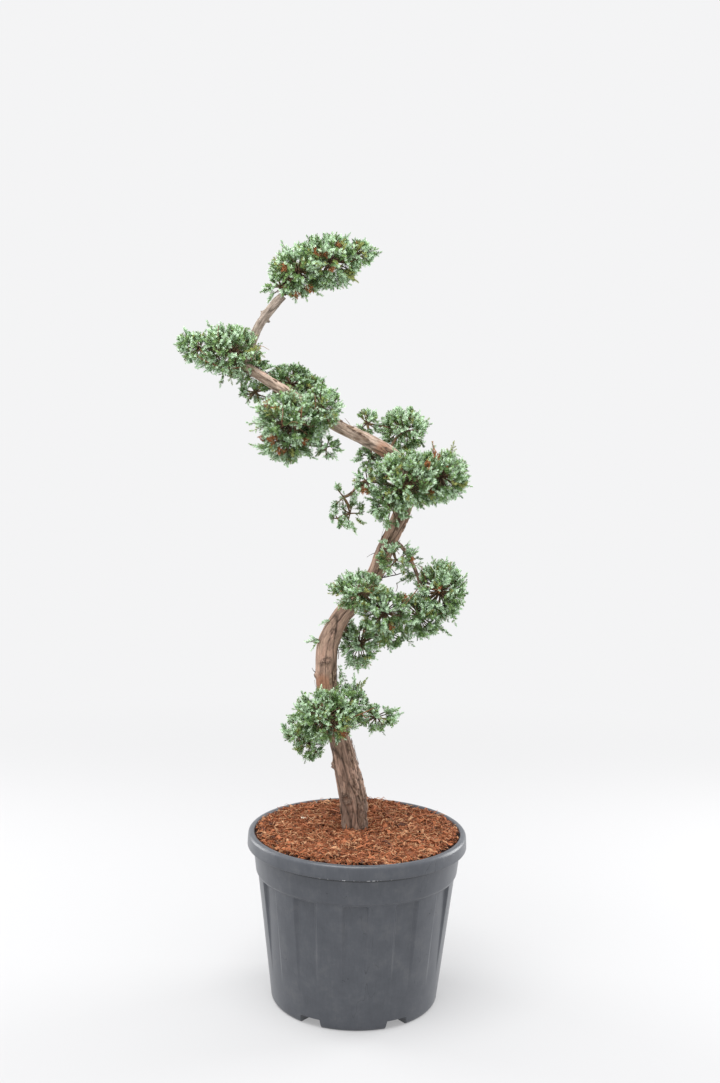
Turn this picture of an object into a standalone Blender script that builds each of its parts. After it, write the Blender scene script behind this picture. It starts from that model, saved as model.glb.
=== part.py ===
"""A garden juniper trained as a tall bonsai, in its ribbed nursery pot.

Metres, +Z up. The origin is the centre of the pot's flat underside, and -Y is the side seen first.
The stem rises from the soil, leans left, swings right, and folds back twice. Its crown is a dozen
clipped pads of short needled sprays, each grown in its own space from one stem by a seeded rule.
"""
import math
import random

import bmesh
import bpy
from mathutils import Matrix, Quaternion, Vector

# Gap left between pieces that touch, and the wider one that a stem's cutter keeps
GAP = 0.0003
CUTTER_GAP = 0.00036

# Pot: overall sizes
RIM_RADIUS = 0.2404
POT_HEIGHT = 0.3783
RIM_WIDTH = 0.0155
RIM_SKIRT = 0.0306
RIM_ROUNDING = 0.0080
RIM_INNER_ROUNDING = 0.0030
COLLAR_FOOT = 0.2870
COLLAR_TOP_RADIUS = 0.2274
COLLAR_FOOT_RADIUS = 0.2205
WALL_TOP_RADIUS = 0.2165
WALL_FOOT_RADIUS = 0.1825
FOOT_ROUNDING = 0.0060
FOOT_INSET = 0.0050
COLLAR_STEP = 0.0040
WALL_THICKNESS = 0.0105
POT_FLOOR = 0.0240
POT_SEGMENTS = 40

# Pot: twelve sunk panels and six notches in the foot
PANEL_COUNT = 12
PANEL_ANGLE = math.radians(15.5)
PANEL_DEPTH = 0.0070
PANEL_FOOT = 0.0750
NOTCH_COUNT = 6
NOTCH_ANGLE = math.radians(15.0)
NOTCH_HEIGHT = 0.0190
NOTCH_INNER_RADIUS = 0.1400
CUTTER_MARGIN = 0.0150

# Soil: a low dome just under the rim, with a level seat for the trunk
SOIL_EDGE = 0.3660
SOIL_SHOULDER_SHARE = 0.70
SOIL_CROWN = 0.3790
SOIL_SEAT_RADIUS = 0.0500

# Stems: bends as (x, y, z, radius), from the foot to the tip
TRUNK_BENDS = [
    (-0.006, 0.005, 0.360, 0.0320),
    (-0.007, 0.005, 0.400, 0.0283),
    (-0.009, 0.005, 0.436, 0.0292),
    (-0.019, 0.004, 0.484, 0.0283),
    (-0.036, 0.002, 0.556, 0.0240),
    (-0.071, 0.012, 0.690, 0.0230),
    (-0.075, 0.016, 0.752, 0.0235),
    (-0.070, 0.016, 0.796, 0.0225),
    (-0.040, 0.012, 0.856, 0.0192),
    (0.021, 0.003, 0.935, 0.0170),
    (0.047, -0.002, 1.001, 0.0173),
    (0.079, -0.002, 1.075, 0.0170),
    (0.098, 0.006, 1.138, 0.0162),
    (0.104, 0.010, 1.184, 0.0140),
]
MIDDLE_LIMB_BENDS = [
    (0.100, 0.009, 1.166, 0.0140),
    (0.047, 0.004, 1.209, 0.0156),
    (-0.006, 0.000, 1.238, 0.0140),
    (-0.064, -0.003, 1.265, 0.0130),
    (-0.141, -0.004, 1.315, 0.0112),
    (-0.219, 0.000, 1.360, 0.0108),
    (-0.264, 0.004, 1.388, 0.0092),
]
TOP_LEADER_BENDS = [
    (-0.256, 0.003, 1.380, 0.0082),
    (-0.252, 0.000, 1.414, 0.0088),
    (-0.231, -0.004, 1.468, 0.0092),
    (-0.199, -0.006, 1.513, 0.0096),
    (-0.180, -0.006, 1.533, 0.0088),
]
FORK_BOUGH_BENDS = [
    (0.058, -0.004, 1.022, 0.0046),
    (0.080, -0.014, 1.010, 0.0043),
    (0.101, -0.020, 0.982, 0.0040),
    (0.118, -0.022, 0.945, 0.0038),
    (0.124, -0.022, 0.926, 0.0036),
]
HANGING_BOUGH_BENDS = [
    (0.088, 0.000, 1.112, 0.0040),
    (0.050, -0.014, 1.142, 0.0036),
    (0.008, -0.012, 1.148, 0.0032),
    (-0.012, -0.004, 1.138, 0.0029),
    (-0.027, 0.000, 1.120, 0.0026),
]

# Each stem with the rounds of its bevel, and the stem that its root is fitted to
STEMS = {
    "trunk": (TRUNK_BENDS, 3, None),
    "middle_limb": (MIDDLE_LIMB_BENDS, 2, "trunk"),
    "top_leader": (TOP_LEADER_BENDS, 2, "middle_limb"),
    "fork_bough": (FORK_BOUGH_BENDS, 1, "trunk"),
    "hanging_bough": (HANGING_BOUGH_BENDS, 1, "trunk"),
}

# Twigs and stems inside a mass
MASS_STEM_RADIUS = 0.0048
STEM_TIP_RADIUS = 0.0030
TWIG_RADIUS = 0.0024
TWIG_TIP_RADIUS = 0.0018
STEM_CLEARANCE = 0.0040

# Sprays, larger than life so that few of them fill the crown
SPRAY_LENGTH = 0.034
SPRAY_LENGTH_RANGE = (0.90, 1.15)
SPRAY_HALF_THICKNESS = 0.0022
SPRAY_SPACING = 0.0105
SPRAY_SINK = 0.0050
SPRAY_FORKS = 1
FORK_SPREAD = (0.90, 1.25)
FORK_SETBACK = 0.25
SPRAY_SHRINKS = (1.0, 0.8)

# Reach in a lobe, as shares of its half sizes: its core's dents and tufts, the knot of an open
# lobe's twigs, the tips of its sprays, and the depth at which a spray counts as buried
CORE_SHARE = 0.60
TUFT_SHARE = 0.88
CORE_STEP = 0.05
KNOT_SHARE = 0.17
TIP_REACH = (1.00, 1.10)
BURIED_REACH = 0.80
LONGEST_SPRAY = 0.85

# A mass keeps to the points that it reaches first, by this margin, and to this reach
SPACE_SLACK = 1.13
SPACE_MARGIN = 0.04

# Growing: seeds tried for a mass, and the angle between one twig and the next
SEED_TRIES = 6
GOLDEN_ANGLE = math.pi * (3.0 - math.sqrt(5.0))

# A spray's outline round its middle: (degrees from its tip, share of its length)
SPRAY_OUTLINE = [(0, 0.60), (22, 0.28), (50, 0.36), (180, 0.40), (310, 0.36), (338, 0.28)]

# Foliage: each mass has the place where its stem leaves its limb, and lobes as
# (x, y, z, half x, half y, half z, twigs). A minus sign on the twigs means an open lobe, with no core.
MASSES = {
    "foliage_top": ((-0.178, -0.006, 1.534), [
        (-0.150, 0.000, 1.585, 0.056, 0.060, 0.050, 8),
        (-0.084, 0.000, 1.607, 0.066, 0.068, 0.054, 12),
        (-0.030, 0.000, 1.622, 0.040, 0.042, 0.030, 6),
        (-0.186, 0.000, 1.552, 0.030, 0.036, 0.024, 4),
    ]),
    "foliage_left": ((-0.262, 0.003, 1.387), [
        (-0.290, -0.008, 1.416, 0.066, 0.068, 0.052, 10),
        (-0.354, 0.000, 1.420, 0.048, 0.048, 0.032, 7),
        (-0.253, 0.032, 1.382, 0.040, 0.042, 0.032, 6),
        (-0.386, 0.000, 1.438, 0.022, 0.024, 0.022, -3),
    ]),
    "foliage_upper_back": ((-0.150, 0.000, 1.320), [
        (-0.166, 0.066, 1.350, 0.054, 0.052, 0.040, 10),
        (-0.122, 0.070, 1.336, 0.034, 0.044, 0.034, 6),
        (-0.240, 0.046, 1.330, 0.034, 0.036, 0.028, 6),
    ]),
    "foliage_mid_front": ((-0.118, -0.003, 1.300), [
        (-0.154, -0.068, 1.274, 0.078, 0.056, 0.056, 13),
        (-0.092, -0.062, 1.300, 0.040, 0.044, 0.044, 6),
        (-0.166, -0.046, 1.228, 0.060, 0.050, 0.041, 8),
        (-0.082, -0.040, 1.218, 0.028, 0.030, 0.024, -3),
    ]),
    "foliage_mid_back": ((0.052, 0.006, 1.206), [
        (0.083, 0.068, 1.254, 0.052, 0.052, 0.048, 13),
        (0.003, 0.056, 1.268, 0.024, 0.032, 0.030, 4),
        (0.013, 0.038, 1.196, 0.030, 0.030, 0.026, 4),
    ]),
    "foliage_bend": ((0.094, 0.004, 1.126), [
        (0.090, -0.062, 1.154, 0.076, 0.056, 0.060, 10),
        (0.162, -0.018, 1.161, 0.056, 0.064, 0.056, 10),
        (0.054, -0.052, 1.098, 0.038, 0.038, 0.044, 6),
        (0.006, -0.040, 1.148, 0.030, 0.034, 0.028, 4),
        (0.128, 0.062, 1.146, 0.062, 0.048, 0.054, 8),
    ]),
    "foliage_hanging": ((-0.026, 0.000, 1.121), [
        (-0.044, 0.000, 1.110, 0.030, 0.030, 0.028, -6),
        (-0.030, 0.000, 1.076, 0.030, 0.030, 0.032, -7),
        (-0.056, 0.000, 1.064, 0.022, 0.022, 0.020, -4),
    ]),
    "foliage_fork_front": ((0.008, 0.005, 0.922), [
        (-0.008, -0.074, 0.918, 0.058, 0.044, 0.040, 8),
        (0.048, -0.060, 0.874, 0.058, 0.048, 0.048, 10),
    ]),
    "foliage_fork_right": ((0.123, -0.022, 0.927), [
        (0.166, -0.022, 0.915, 0.056, 0.060, 0.062, 11),
        (0.123, -0.020, 0.860, 0.052, 0.056, 0.048, 8),
    ]),
    "foliage_fork_low": ((-0.050, 0.013, 0.842), [
        (-0.003, 0.040, 0.786, 0.044, 0.040, 0.056, 8),
        (0.058, 0.004, 0.820, 0.036, 0.044, 0.036, 6),
    ]),
    "foliage_fork_twigs": ((0.052, -0.002, 1.012), [
        (0.070, -0.040, 0.982, 0.038, 0.028, 0.034, -7),
    ]),
    "foliage_low": ((-0.050, 0.006, 0.610), [
        (-0.074, -0.066, 0.646, 0.068, 0.054, 0.056, 9),
        (-0.128, -0.022, 0.604, 0.038, 0.048, 0.034, 6),
        (-0.104, -0.034, 0.574, 0.030, 0.034, 0.030, 4),
        (-0.018, -0.022, 0.662, 0.034, 0.044, 0.042, 6),
        (0.036, -0.012, 0.634, 0.046, 0.034, 0.026, 6),
        (-0.078, 0.066, 0.612, 0.058, 0.044, 0.046, 6),
    ]),
}

# Colours as linear RGB, with roughness
COLOURS = {
    "pot_plastic": ((0.115, 0.125, 0.135), 0.45),
    "bark_soil": ((0.210, 0.072, 0.028), 0.95),
    "juniper_bark": ((0.190, 0.105, 0.072), 0.85),
    "juniper_needles": ((0.080, 0.165, 0.110), 0.70),
}


def clear_scene():
    for item in list(bpy.data.objects):
        bpy.data.objects.remove(item, do_unlink=True)


def new_collection(name):
    group = bpy.data.collections.new(name)
    bpy.context.scene.collection.children.link(group)
    return group


def new_material(name):
    colour, roughness = COLOURS[name]
    material = bpy.data.materials.new(name)
    material.use_nodes = True
    shader = material.node_tree.nodes["Principled BSDF"]
    shader.inputs["Base Color"].default_value = (*colour, 1.0)
    shader.inputs["Roughness"].default_value = roughness
    shader.inputs["Metallic"].default_value = 0.0
    return material


def new_object(name, mesh, group, material=None):
    item = bpy.data.objects.new(name, mesh)
    group.objects.link(item)
    if material is not None:
        mesh.materials.append(material)
    return item


def mesh_from_bmesh(name, bm):
    mesh = bpy.data.meshes.new(name)
    bm.to_mesh(mesh)
    bm.free()
    return mesh


def shade_round(mesh, angle_deg=35.0):
    mesh.shade_smooth()
    mesh.set_sharp_from_angle(angle=math.radians(angle_deg))


def mark_cutter(item):
    item.hide_render = True
    item.display_type = "WIRE"


# Pot and soil

def wall_radius(z):
    """Outer radius of the wall between the foot and the collar."""
    share = z / COLLAR_FOOT
    return WALL_FOOT_RADIUS + (WALL_TOP_RADIUS - WALL_FOOT_RADIUS) * share


def inner_wall():
    """The pot's inner side as (radius, z), from the rim down to the floor."""
    rim_inner = RIM_RADIUS - RIM_WIDTH
    return [
        (rim_inner, POT_HEIGHT - RIM_INNER_ROUNDING),
        (COLLAR_TOP_RADIUS - WALL_THICKNESS / 1.6, POT_HEIGHT - 1.3 * RIM_SKIRT),
        (wall_radius(COLLAR_FOOT) - WALL_THICKNESS, COLLAR_FOOT - COLLAR_STEP),
        (wall_radius(POT_FLOOR) - WALL_THICKNESS, POT_FLOOR),
    ]


def turned(name, profile, group, material):
    """A profile of (radius, z) turned about Z; on the outer side it runs top to bottom."""
    bm = bmesh.new()
    points = [bm.verts.new((radius, 0.0, z)) for radius, z in profile]
    for first, second in zip(points, points[1:]):
        bm.edges.new((first, second))
    item = new_object(name, mesh_from_bmesh(name, bm), group, material)
    screw = item.modifiers.new("turn", "SCREW")
    screw.axis = "Z"
    screw.angle = math.tau
    screw.steps = POT_SEGMENTS
    screw.render_steps = POT_SEGMENTS
    screw.use_merge_vertices = True
    screw.merge_threshold = 0.00005
    screw.use_smooth_shade = True
    return item


def ring_segment(name, profile, centre_angle, sweep, steps, group):
    """A closed profile of (radius, z) swept part of the way round Z, closed at both ends."""
    bm = bmesh.new()
    start = centre_angle - sweep / 2.0
    across = Vector((math.cos(start), math.sin(start), 0.0))
    corners = [bm.verts.new(across * radius + Vector((0.0, 0.0, z))) for radius, z in profile]
    face = bm.faces.new(corners)
    shape = [face] + list(face.edges) + list(face.verts)
    bmesh.ops.spin(bm, geom=shape, cent=(0, 0, 0), axis=(0, 0, 1), dvec=(0, 0, 0),
                   angle=sweep, steps=steps, use_duplicate=False)
    bmesh.ops.recalc_face_normals(bm, faces=bm.faces)
    item = new_object(name, mesh_from_bmesh(name, bm), group)
    mark_cutter(item)
    return item


def cut_with(item, group, name):
    cut = item.modifiers.new(name, "BOOLEAN")
    cut.operation = "DIFFERENCE"
    cut.operand_type = "COLLECTION"
    cut.collection = group
    cut.solver = "EXACT"


def build_pot(parts, cutters, material):
    rim_inner = RIM_RADIUS - RIM_WIDTH
    skirt_foot = POT_HEIGHT - RIM_SKIRT
    profile = [
        (rim_inner, POT_HEIGHT - RIM_INNER_ROUNDING),
        (rim_inner + RIM_INNER_ROUNDING, POT_HEIGHT),
        (RIM_RADIUS - RIM_ROUNDING, POT_HEIGHT),
        (RIM_RADIUS - 0.45 * RIM_ROUNDING, POT_HEIGHT - 0.25 * RIM_ROUNDING),
        (RIM_RADIUS - 0.20 * RIM_ROUNDING, POT_HEIGHT - 0.75 * RIM_ROUNDING),
        (RIM_RADIUS, skirt_foot + 0.002),
        (RIM_RADIUS - 0.002, skirt_foot),
        (COLLAR_TOP_RADIUS, skirt_foot + 0.001),
        (COLLAR_FOOT_RADIUS, COLLAR_FOOT + COLLAR_STEP),
        (WALL_TOP_RADIUS, COLLAR_FOOT),
        (wall_radius(FOOT_ROUNDING), FOOT_ROUNDING),
        (WALL_FOOT_RADIUS - 0.4 * FOOT_INSET, 0.25 * FOOT_ROUNDING),
        (WALL_FOOT_RADIUS - FOOT_INSET, 0.0),
        (0.0, 0.0),
        (0.0, POT_FLOOR),
    ]
    profile += list(reversed(inner_wall()))
    pot = turned("pot", profile, parts, material)

    panels = bpy.data.collections.new("panel_cutters")
    notches = bpy.data.collections.new("notch_cutters")
    cutters.children.link(panels)
    cutters.children.link(notches)
    top, foot = COLLAR_FOOT - 0.001, PANEL_FOOT
    panel_profile = [
        (wall_radius(top) - PANEL_DEPTH, top),
        (wall_radius(foot) - 0.0002, foot),
        (wall_radius(foot) + CUTTER_MARGIN, foot),
        (wall_radius(top) + CUTTER_MARGIN, top),
    ]
    for number in range(PANEL_COUNT):
        angle = -math.pi / 2.0 + number * math.tau / PANEL_COUNT
        ring_segment(f"panel_cutter_{number + 1}", panel_profile, angle, PANEL_ANGLE, 3, panels)
    notch_profile = [
        (NOTCH_INNER_RADIUS, -CUTTER_MARGIN),
        (WALL_FOOT_RADIUS + CUTTER_MARGIN, -CUTTER_MARGIN),
        (WALL_FOOT_RADIUS + CUTTER_MARGIN, NOTCH_HEIGHT),
        (NOTCH_INNER_RADIUS, NOTCH_HEIGHT),
    ]
    for number in range(NOTCH_COUNT):
        angle = -math.pi / 2.0 + (number + 0.5) * math.tau / NOTCH_COUNT
        ring_segment(f"notch_cutter_{number + 1}", notch_profile, angle, NOTCH_ANGLE, 2, notches)
    cut_with(pot, panels, "sunk_panels")
    cut_with(pot, notches, "foot_notches")
    return pot


def build_soil(parts, material):
    """The soil fills the pot, a gap's width inside its wall."""
    wall = inner_wall()
    (rim_r, rim_z), (under_r, under_z) = wall[0], wall[1]
    share = (SOIL_EDGE - under_z) / (rim_z - under_z)
    edge_radius = under_r + (rim_r - under_r) * share
    middle = (SOIL_SEAT_RADIUS + edge_radius) / 2.0
    profile = [
        (0.0, SOIL_CROWN),
        (SOIL_SEAT_RADIUS, SOIL_CROWN),
        (middle, SOIL_EDGE + SOIL_SHOULDER_SHARE * (SOIL_CROWN - SOIL_EDGE)),
        (edge_radius - GAP, SOIL_EDGE),
    ]
    profile += [(radius - GAP, z) for radius, z in wall[1:3]]
    profile += [(wall[3][0] - GAP, POT_FLOOR + GAP), (0.0, POT_FLOOR + GAP)]
    return turned("soil", profile, parts, material)


# Stems

def smooth_path(bends, samples=2):
    """Points on a Catmull-Rom curve through the bends, each with its radius."""
    rows = [Vector(bend) for bend in bends]
    rows = [rows[0] * 2 - rows[1]] + rows + [rows[-1] * 2 - rows[-2]]
    path = []
    for before, start, end, after in zip(rows, rows[1:], rows[2:], rows[3:]):
        for step in range(samples):
            t = step / samples
            path.append(0.5 * (2 * start + (end - before) * t
                               + (2 * before - 5 * start + 4 * end - after) * t ** 2
                               + (3 * start - before - 3 * end + after) * t ** 3))
    path.append(rows[-2])
    return path


def stem_object(name, path, group, rounds, grow=0.0, material=None):
    """A round stem along the path as a closed mesh; grow thickens it and lengthens both ends."""
    curve = bpy.data.curves.new(name, "CURVE")
    curve.dimensions = "3D"
    curve.bevel_depth = 1.0
    curve.bevel_resolution = rounds
    curve.use_fill_caps = True
    spline = curve.splines.new("POLY")
    spline.points.add(len(path) - 1)
    places = [point.to_3d() for point in path]
    places[0] = places[0] - (places[1] - places[0]).normalized() * grow
    places[-1] = places[-1] + (places[-1] - places[-2]).normalized() * grow
    for knot, place, point in zip(spline.points, places, path):
        knot.co = (*place, 1.0)
        knot.radius = point[3] + grow
    guide = bpy.data.objects.new(name + "_guide", curve)
    group.objects.link(guide)
    depsgraph = bpy.context.evaluated_depsgraph_get()
    mesh = bpy.data.meshes.new_from_object(guide.evaluated_get(depsgraph))
    mesh.name = name
    bm = bmesh.new()
    bm.from_mesh(mesh)
    bmesh.ops.remove_doubles(bm, verts=bm.verts, dist=0.00001)
    bmesh.ops.recalc_face_normals(bm, faces=bm.faces)
    bm.to_mesh(mesh)
    bm.free()
    bpy.data.objects.remove(guide, do_unlink=True)
    bpy.data.curves.remove(curve)
    shade_round(mesh)
    return new_object(name, mesh, group, material)


def cut_level(item, z):
    """Cuts the piece off level at the given height, and closes the cut."""
    bm = bmesh.new()
    bm.from_mesh(item.data)
    shape = list(bm.verts) + list(bm.edges) + list(bm.faces)
    cut = bmesh.ops.bisect_plane(bm, geom=shape, plane_co=(0, 0, z), plane_no=(0, 0, 1),
                                 clear_inner=True)
    rim = [part for part in cut["geom_cut"] if isinstance(part, bmesh.types.BMEdge)]
    bmesh.ops.contextual_create(bm, geom=rim)
    bmesh.ops.recalc_face_normals(bm, faces=bm.faces)
    bm.to_mesh(item.data)
    bm.free()


def apply_modifiers(item):
    depsgraph = bpy.context.evaluated_depsgraph_get()
    mesh = bpy.data.meshes.new_from_object(item.evaluated_get(depsgraph))
    old = item.data
    name = old.name
    item.modifiers.clear()
    item.data = mesh
    bpy.data.meshes.remove(old)
    mesh.name = name


def boxes_meet(first, second):
    """True where the two meshes' boxes overlap."""
    for axis in range(3):
        one = [vert.co[axis] for vert in first.data.vertices]
        two = [vert.co[axis] for vert in second.data.vertices]
        if min(one) > max(two) or min(two) > max(one):
            return False
    return True


def fit_to(item, carrier_clearance):
    """Cuts a limb's root to the face of the stem that it leaves, a gap's width clear."""
    cut = item.modifiers.new("fit", "BOOLEAN")
    cut.operation = "DIFFERENCE"
    cut.object = carrier_clearance
    cut.solver = "EXACT"
    apply_modifiers(item)
    keep_largest(item)


# Foliage

def islands(bm):
    """Lists of faces that hang together."""
    left = set(bm.faces)
    groups = []
    while left:
        seed = left.pop()
        group, frontier = [seed], [seed]
        while frontier:
            face = frontier.pop()
            for edge in face.edges:
                for other in edge.link_faces:
                    if other in left:
                        left.remove(other)
                        group.append(other)
                        frontier.append(other)
        groups.append(group)
    return groups


def shell_volume(faces):
    total = 0.0
    for face in faces:
        first = face.verts[0].co
        for second, third in zip(face.verts[1:], face.verts[2:]):
            total += first.dot(second.co.cross(third.co)) / 6.0
    return total


def is_closed(bm):
    return all(len(edge.link_faces) == 2 for edge in bm.edges)


def keep_largest(item):
    """Drops loose scraps, and the shells of sealed hollows; True where one closed body is left."""
    bm = bmesh.new()
    bm.from_mesh(item.data)
    groups = islands(bm)
    largest = max(groups, key=shell_volume)
    spare = [face for group in groups if group is not largest for face in group]
    bmesh.ops.delete(bm, geom=spare, context="FACES")
    for method in ("BEAUTY", "EAR_CLIP"):
        trial = bm.copy()
        bmesh.ops.triangulate(trial, faces=trial.faces, ngon_method=method)
        closed = is_closed(trial)
        trial.to_mesh(item.data)
        trial.free()
        if closed:
            break
    bm.free()
    return closed


def reach_in(lobe, point):
    """Distance of a point from a lobe's centre, as a share of the lobe's half sizes."""
    return math.sqrt(sum(((point[i] - lobe[i]) / lobe[i + 3]) ** 2 for i in range(3)))


def reach_in_mass(name, point):
    return min(reach_in(lobe, point) for lobe in MASSES[name][1])


def in_own_space(name, point):
    own = reach_in_mass(name, point)
    if own > SPACE_SLACK:
        return False
    others = (reach_in_mass(other, point) for other in MASSES if other != name)
    return all(reach > own + SPACE_MARGIN for reach in others)


def near_stem(point, stems, clearance):
    """True where a point is inside, or within the clearance of, any stem of the tree."""
    for path in stems:
        for first, second in zip(path, path[1:]):
            start, end = first.to_3d(), second.to_3d()
            along = end - start
            share = max(0.0, min(1.0, (point - start).dot(along) / along.length_squared))
            nearest = start + along * share
            radius = first[3] + (second[3] - first[3]) * share
            if (point - nearest).length < radius + clearance:
                return True
    return False


def turn_to(direction, twist=0.0):
    """Rotation that takes +Y to a direction, turned about it by the twist."""
    aim = direction.to_track_quat("Y", "Z").to_matrix().to_4x4()
    return aim @ Matrix.Rotation(twist, 4, "Y")


def cone_object(name, start, end, start_radius, end_radius, sides, group):
    """A straight tapering twig."""
    along = end - start
    bm = bmesh.new()
    bmesh.ops.create_cone(bm, cap_ends=True, segments=sides, radius1=start_radius,
                          radius2=end_radius, depth=along.length)
    turn = along.to_track_quat("Z", "Y").to_matrix().to_4x4()
    turn.translation = (start + end) / 2.0
    bmesh.ops.transform(bm, matrix=turn, verts=bm.verts)
    return new_object(name, mesh_from_bmesh(name, bm), group)


def spray_points(root, direction, twist, length):
    """The outline of a toothed spray, then its upper and lower middle."""
    turn = turn_to(direction, twist)
    middle = root + direction * (0.40 * length)
    points = []
    for degrees, share in SPRAY_OUTLINE:
        angle = math.radians(degrees)
        flat = Vector((math.sin(angle), math.cos(angle), 0.0)) * share * length
        points.append(middle + turn @ flat)
    lift = turn @ Vector((0.0, 0.0, SPRAY_HALF_THICKNESS))
    return points, middle + lift, middle - lift


def spray_object(name, root, direction, twist, length, group):
    """A thin toothed blade: a squashed sphere of six sides, its rim drawn out into three points."""
    outline, upper, lower = spray_points(root, direction, twist, length)
    bm = bmesh.new()
    bmesh.ops.create_uvsphere(bm, u_segments=len(outline), v_segments=2, radius=1.0)
    bm.verts.ensure_lookup_table()
    rim = sorted((vert for vert in bm.verts if abs(vert.co.z) < 0.5),
                 key=lambda vert: math.atan2(vert.co.x, vert.co.y) % math.tau)
    for vert in bm.verts:
        if vert.co.z > 0.5:
            top = vert
        elif vert.co.z < -0.5:
            bottom = vert
    for vert, point in zip(rim, outline):
        vert.co = point
    top.co = upper
    bottom.co = lower
    bmesh.ops.recalc_face_normals(bm, faces=bm.faces)
    return new_object(name, mesh_from_bmesh(name, bm), group)


def lobe_point(lobe, way, share):
    """The point that lies the given share of the way out of a lobe, in the direction given."""
    return Vector(lobe[i] + way[i] * lobe[i + 3] * share for i in range(3))


def core_object(name, mass_name, lobe, rng, group):
    """The dense inside of a lobe, a ball of short tufts; in an open lobe, the knot of its twigs."""
    dense = lobe[6] > 0
    bm = bmesh.new()
    bmesh.ops.create_icosphere(bm, subdivisions=2 if dense else 1, radius=1.0)
    low, high = (CORE_SHARE, TUFT_SHARE) if dense else (KNOT_SHARE, KNOT_SHARE)
    for vert in bm.verts:
        swell = rng.uniform(low, high)
        way = vert.co.normalized()
        place = lobe_point(lobe, way, swell)
        while not in_own_space(mass_name, place) and swell > KNOT_SHARE:
            swell -= CORE_STEP
            place = lobe_point(lobe, way, swell)
        vert.co = place
    return new_object(name, mesh_from_bmesh(name, bm), group)


def golden_directions(count, rng):
    """Even directions all round, by the golden angle from a seeded start."""
    start = rng.uniform(0.0, math.tau)
    for number in range(count):
        z = 1.0 - 2.0 * (number + 0.5) / count
        ring = math.sqrt(1.0 - z * z)
        angle = start + number * GOLDEN_ANGLE
        yield Vector((ring * math.cos(angle), ring * math.sin(angle), z))


def spray_fits(name, lobe_number, stems, root, direction, twist, length, made):
    """True where a spray keeps to the mass's space, clear of stems and of the sprays made before it.

    One whose tip would be buried in another lobe is left out. The middle of one that fits is noted.
    """
    outline, upper, lower = spray_points(root, direction, twist, length)
    tips = outline[:3] + outline[4:]
    if not all(in_own_space(name, tip) for tip in tips):
        return False
    if any(near_stem(tip, stems, STEM_CLEARANCE) for tip in tips):
        return False
    others = [lobe for index, lobe in enumerate(MASSES[name][1]) if index != lobe_number]
    if any(reach_in(lobe, tips[0]) < BURIED_REACH for lobe in others):
        return False
    middle = (upper + lower) / 2.0
    if any((middle - other).length < SPRAY_SPACING for other in made):
        return False
    made.append(middle)
    return True


def grow_lobe(name, lobe_number, stems, rng, pieces, made):
    """Twigs from the lobe's middle, each with a spray at its tip and one that forks beside it."""
    lobe = MASSES[name][1][lobe_number]
    centre = Vector(lobe[:3])
    for number, direction in enumerate(golden_directions(abs(lobe[6]), rng)):
        tip = lobe_point(lobe, direction, rng.uniform(*TIP_REACH))
        outward = (tip - centre).normalized()
        length = min(SPRAY_LENGTH * rng.uniform(*SPRAY_LENGTH_RANGE),
                     LONGEST_SPRAY * (tip - centre).length)
        root = tip - outward * length
        side = outward.orthogonal().normalized()
        forks = [(outward, root - outward * SPRAY_SINK)]
        turn_start = rng.uniform(0.0, math.tau)
        for fork in range(SPRAY_FORKS):
            angle = turn_start + fork * GOLDEN_ANGLE
            aside = Quaternion(outward, angle) @ side
            way = (outward + aside * rng.uniform(*FORK_SPREAD)).normalized()
            forks.append((way, root - outward * FORK_SETBACK * length))
        fitted = []
        for way, place in forks:
            twist = rng.uniform(0.0, math.pi)
            for shrink in SPRAY_SHRINKS:
                size = length * shrink
                if spray_fits(name, lobe_number, stems, place, way, twist, size, made):
                    fitted.append((way, place, twist, size))
                    break
        if not fitted:
            continue
        label = f"{name}_{lobe_number}_{number}"
        cone_object(label + "_twig", centre, root, TWIG_RADIUS, TWIG_TIP_RADIUS, 3, pieces)
        for fork, (way, place, twist, size) in enumerate(fitted):
            spray_object(f"{label}_spray_{fork}", place, way, twist, size, pieces)


def build_mass(name, number, stems, clearances, parts, material):
    """A mass of foliage; a growth that doesn't fuse cleanly is grown again from another seed."""
    for seed in range(number, SEED_TRIES * len(MASSES), len(MASSES)):
        mass, closed = grow_mass(name, random.Random(seed), stems, clearances, parts, material)
        if closed:
            return mass
        bpy.data.objects.remove(mass, do_unlink=True)
    raise RuntimeError(name + " doesn't fuse into one closed body")


def grow_mass(name, rng, stems, clearances, parts, material):
    """One mass of foliage: cores, stem, twigs and sprays fused into one solid."""
    root, lobes = MASSES[name]
    root = Vector(root)
    pieces = new_collection(name + "_pieces")
    centres = [Vector(lobe[:3]) for lobe in lobes]
    mass = cone_object(name, root, centres[0], MASS_STEM_RADIUS, STEM_TIP_RADIUS, 6, parts)
    made = []
    for index, lobe in enumerate(lobes):
        if index:
            parent = min(centres[:index], key=lambda spot: (spot - centres[index]).length)
            cone_object(f"{name}_branch_{index}", parent, centres[index], STEM_TIP_RADIUS,
                        TWIG_RADIUS, 4, pieces)
        core_object(f"{name}_core_{index}", name, lobe, rng, pieces)
        grow_lobe(name, index, stems, rng, pieces, made)
    union = mass.modifiers.new("fuse", "BOOLEAN")
    union.operation = "UNION"
    union.operand_type = "COLLECTION"
    union.collection = pieces
    union.solver = "EXACT"
    apply_modifiers(mass)
    for piece in list(pieces.objects):
        spare = piece.data
        bpy.data.objects.remove(piece, do_unlink=True)
        bpy.data.meshes.remove(spare)
    bpy.data.collections.remove(pieces)
    closed = keep_largest(mass)
    for stem in clearances.objects:
        if boxes_meet(mass, stem):
            cut = mass.modifiers.new("clear_of_" + stem.name, "BOOLEAN")
            cut.operation = "DIFFERENCE"
            cut.object = stem
            cut.solver = "EXACT"
            apply_modifiers(mass)
            closed = keep_largest(mass)
    mass.data.materials.clear()
    mass.data.materials.append(material)
    print(name, "sprays", len(made), "triangles", len(mass.data.polygons))
    return mass, closed


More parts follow.
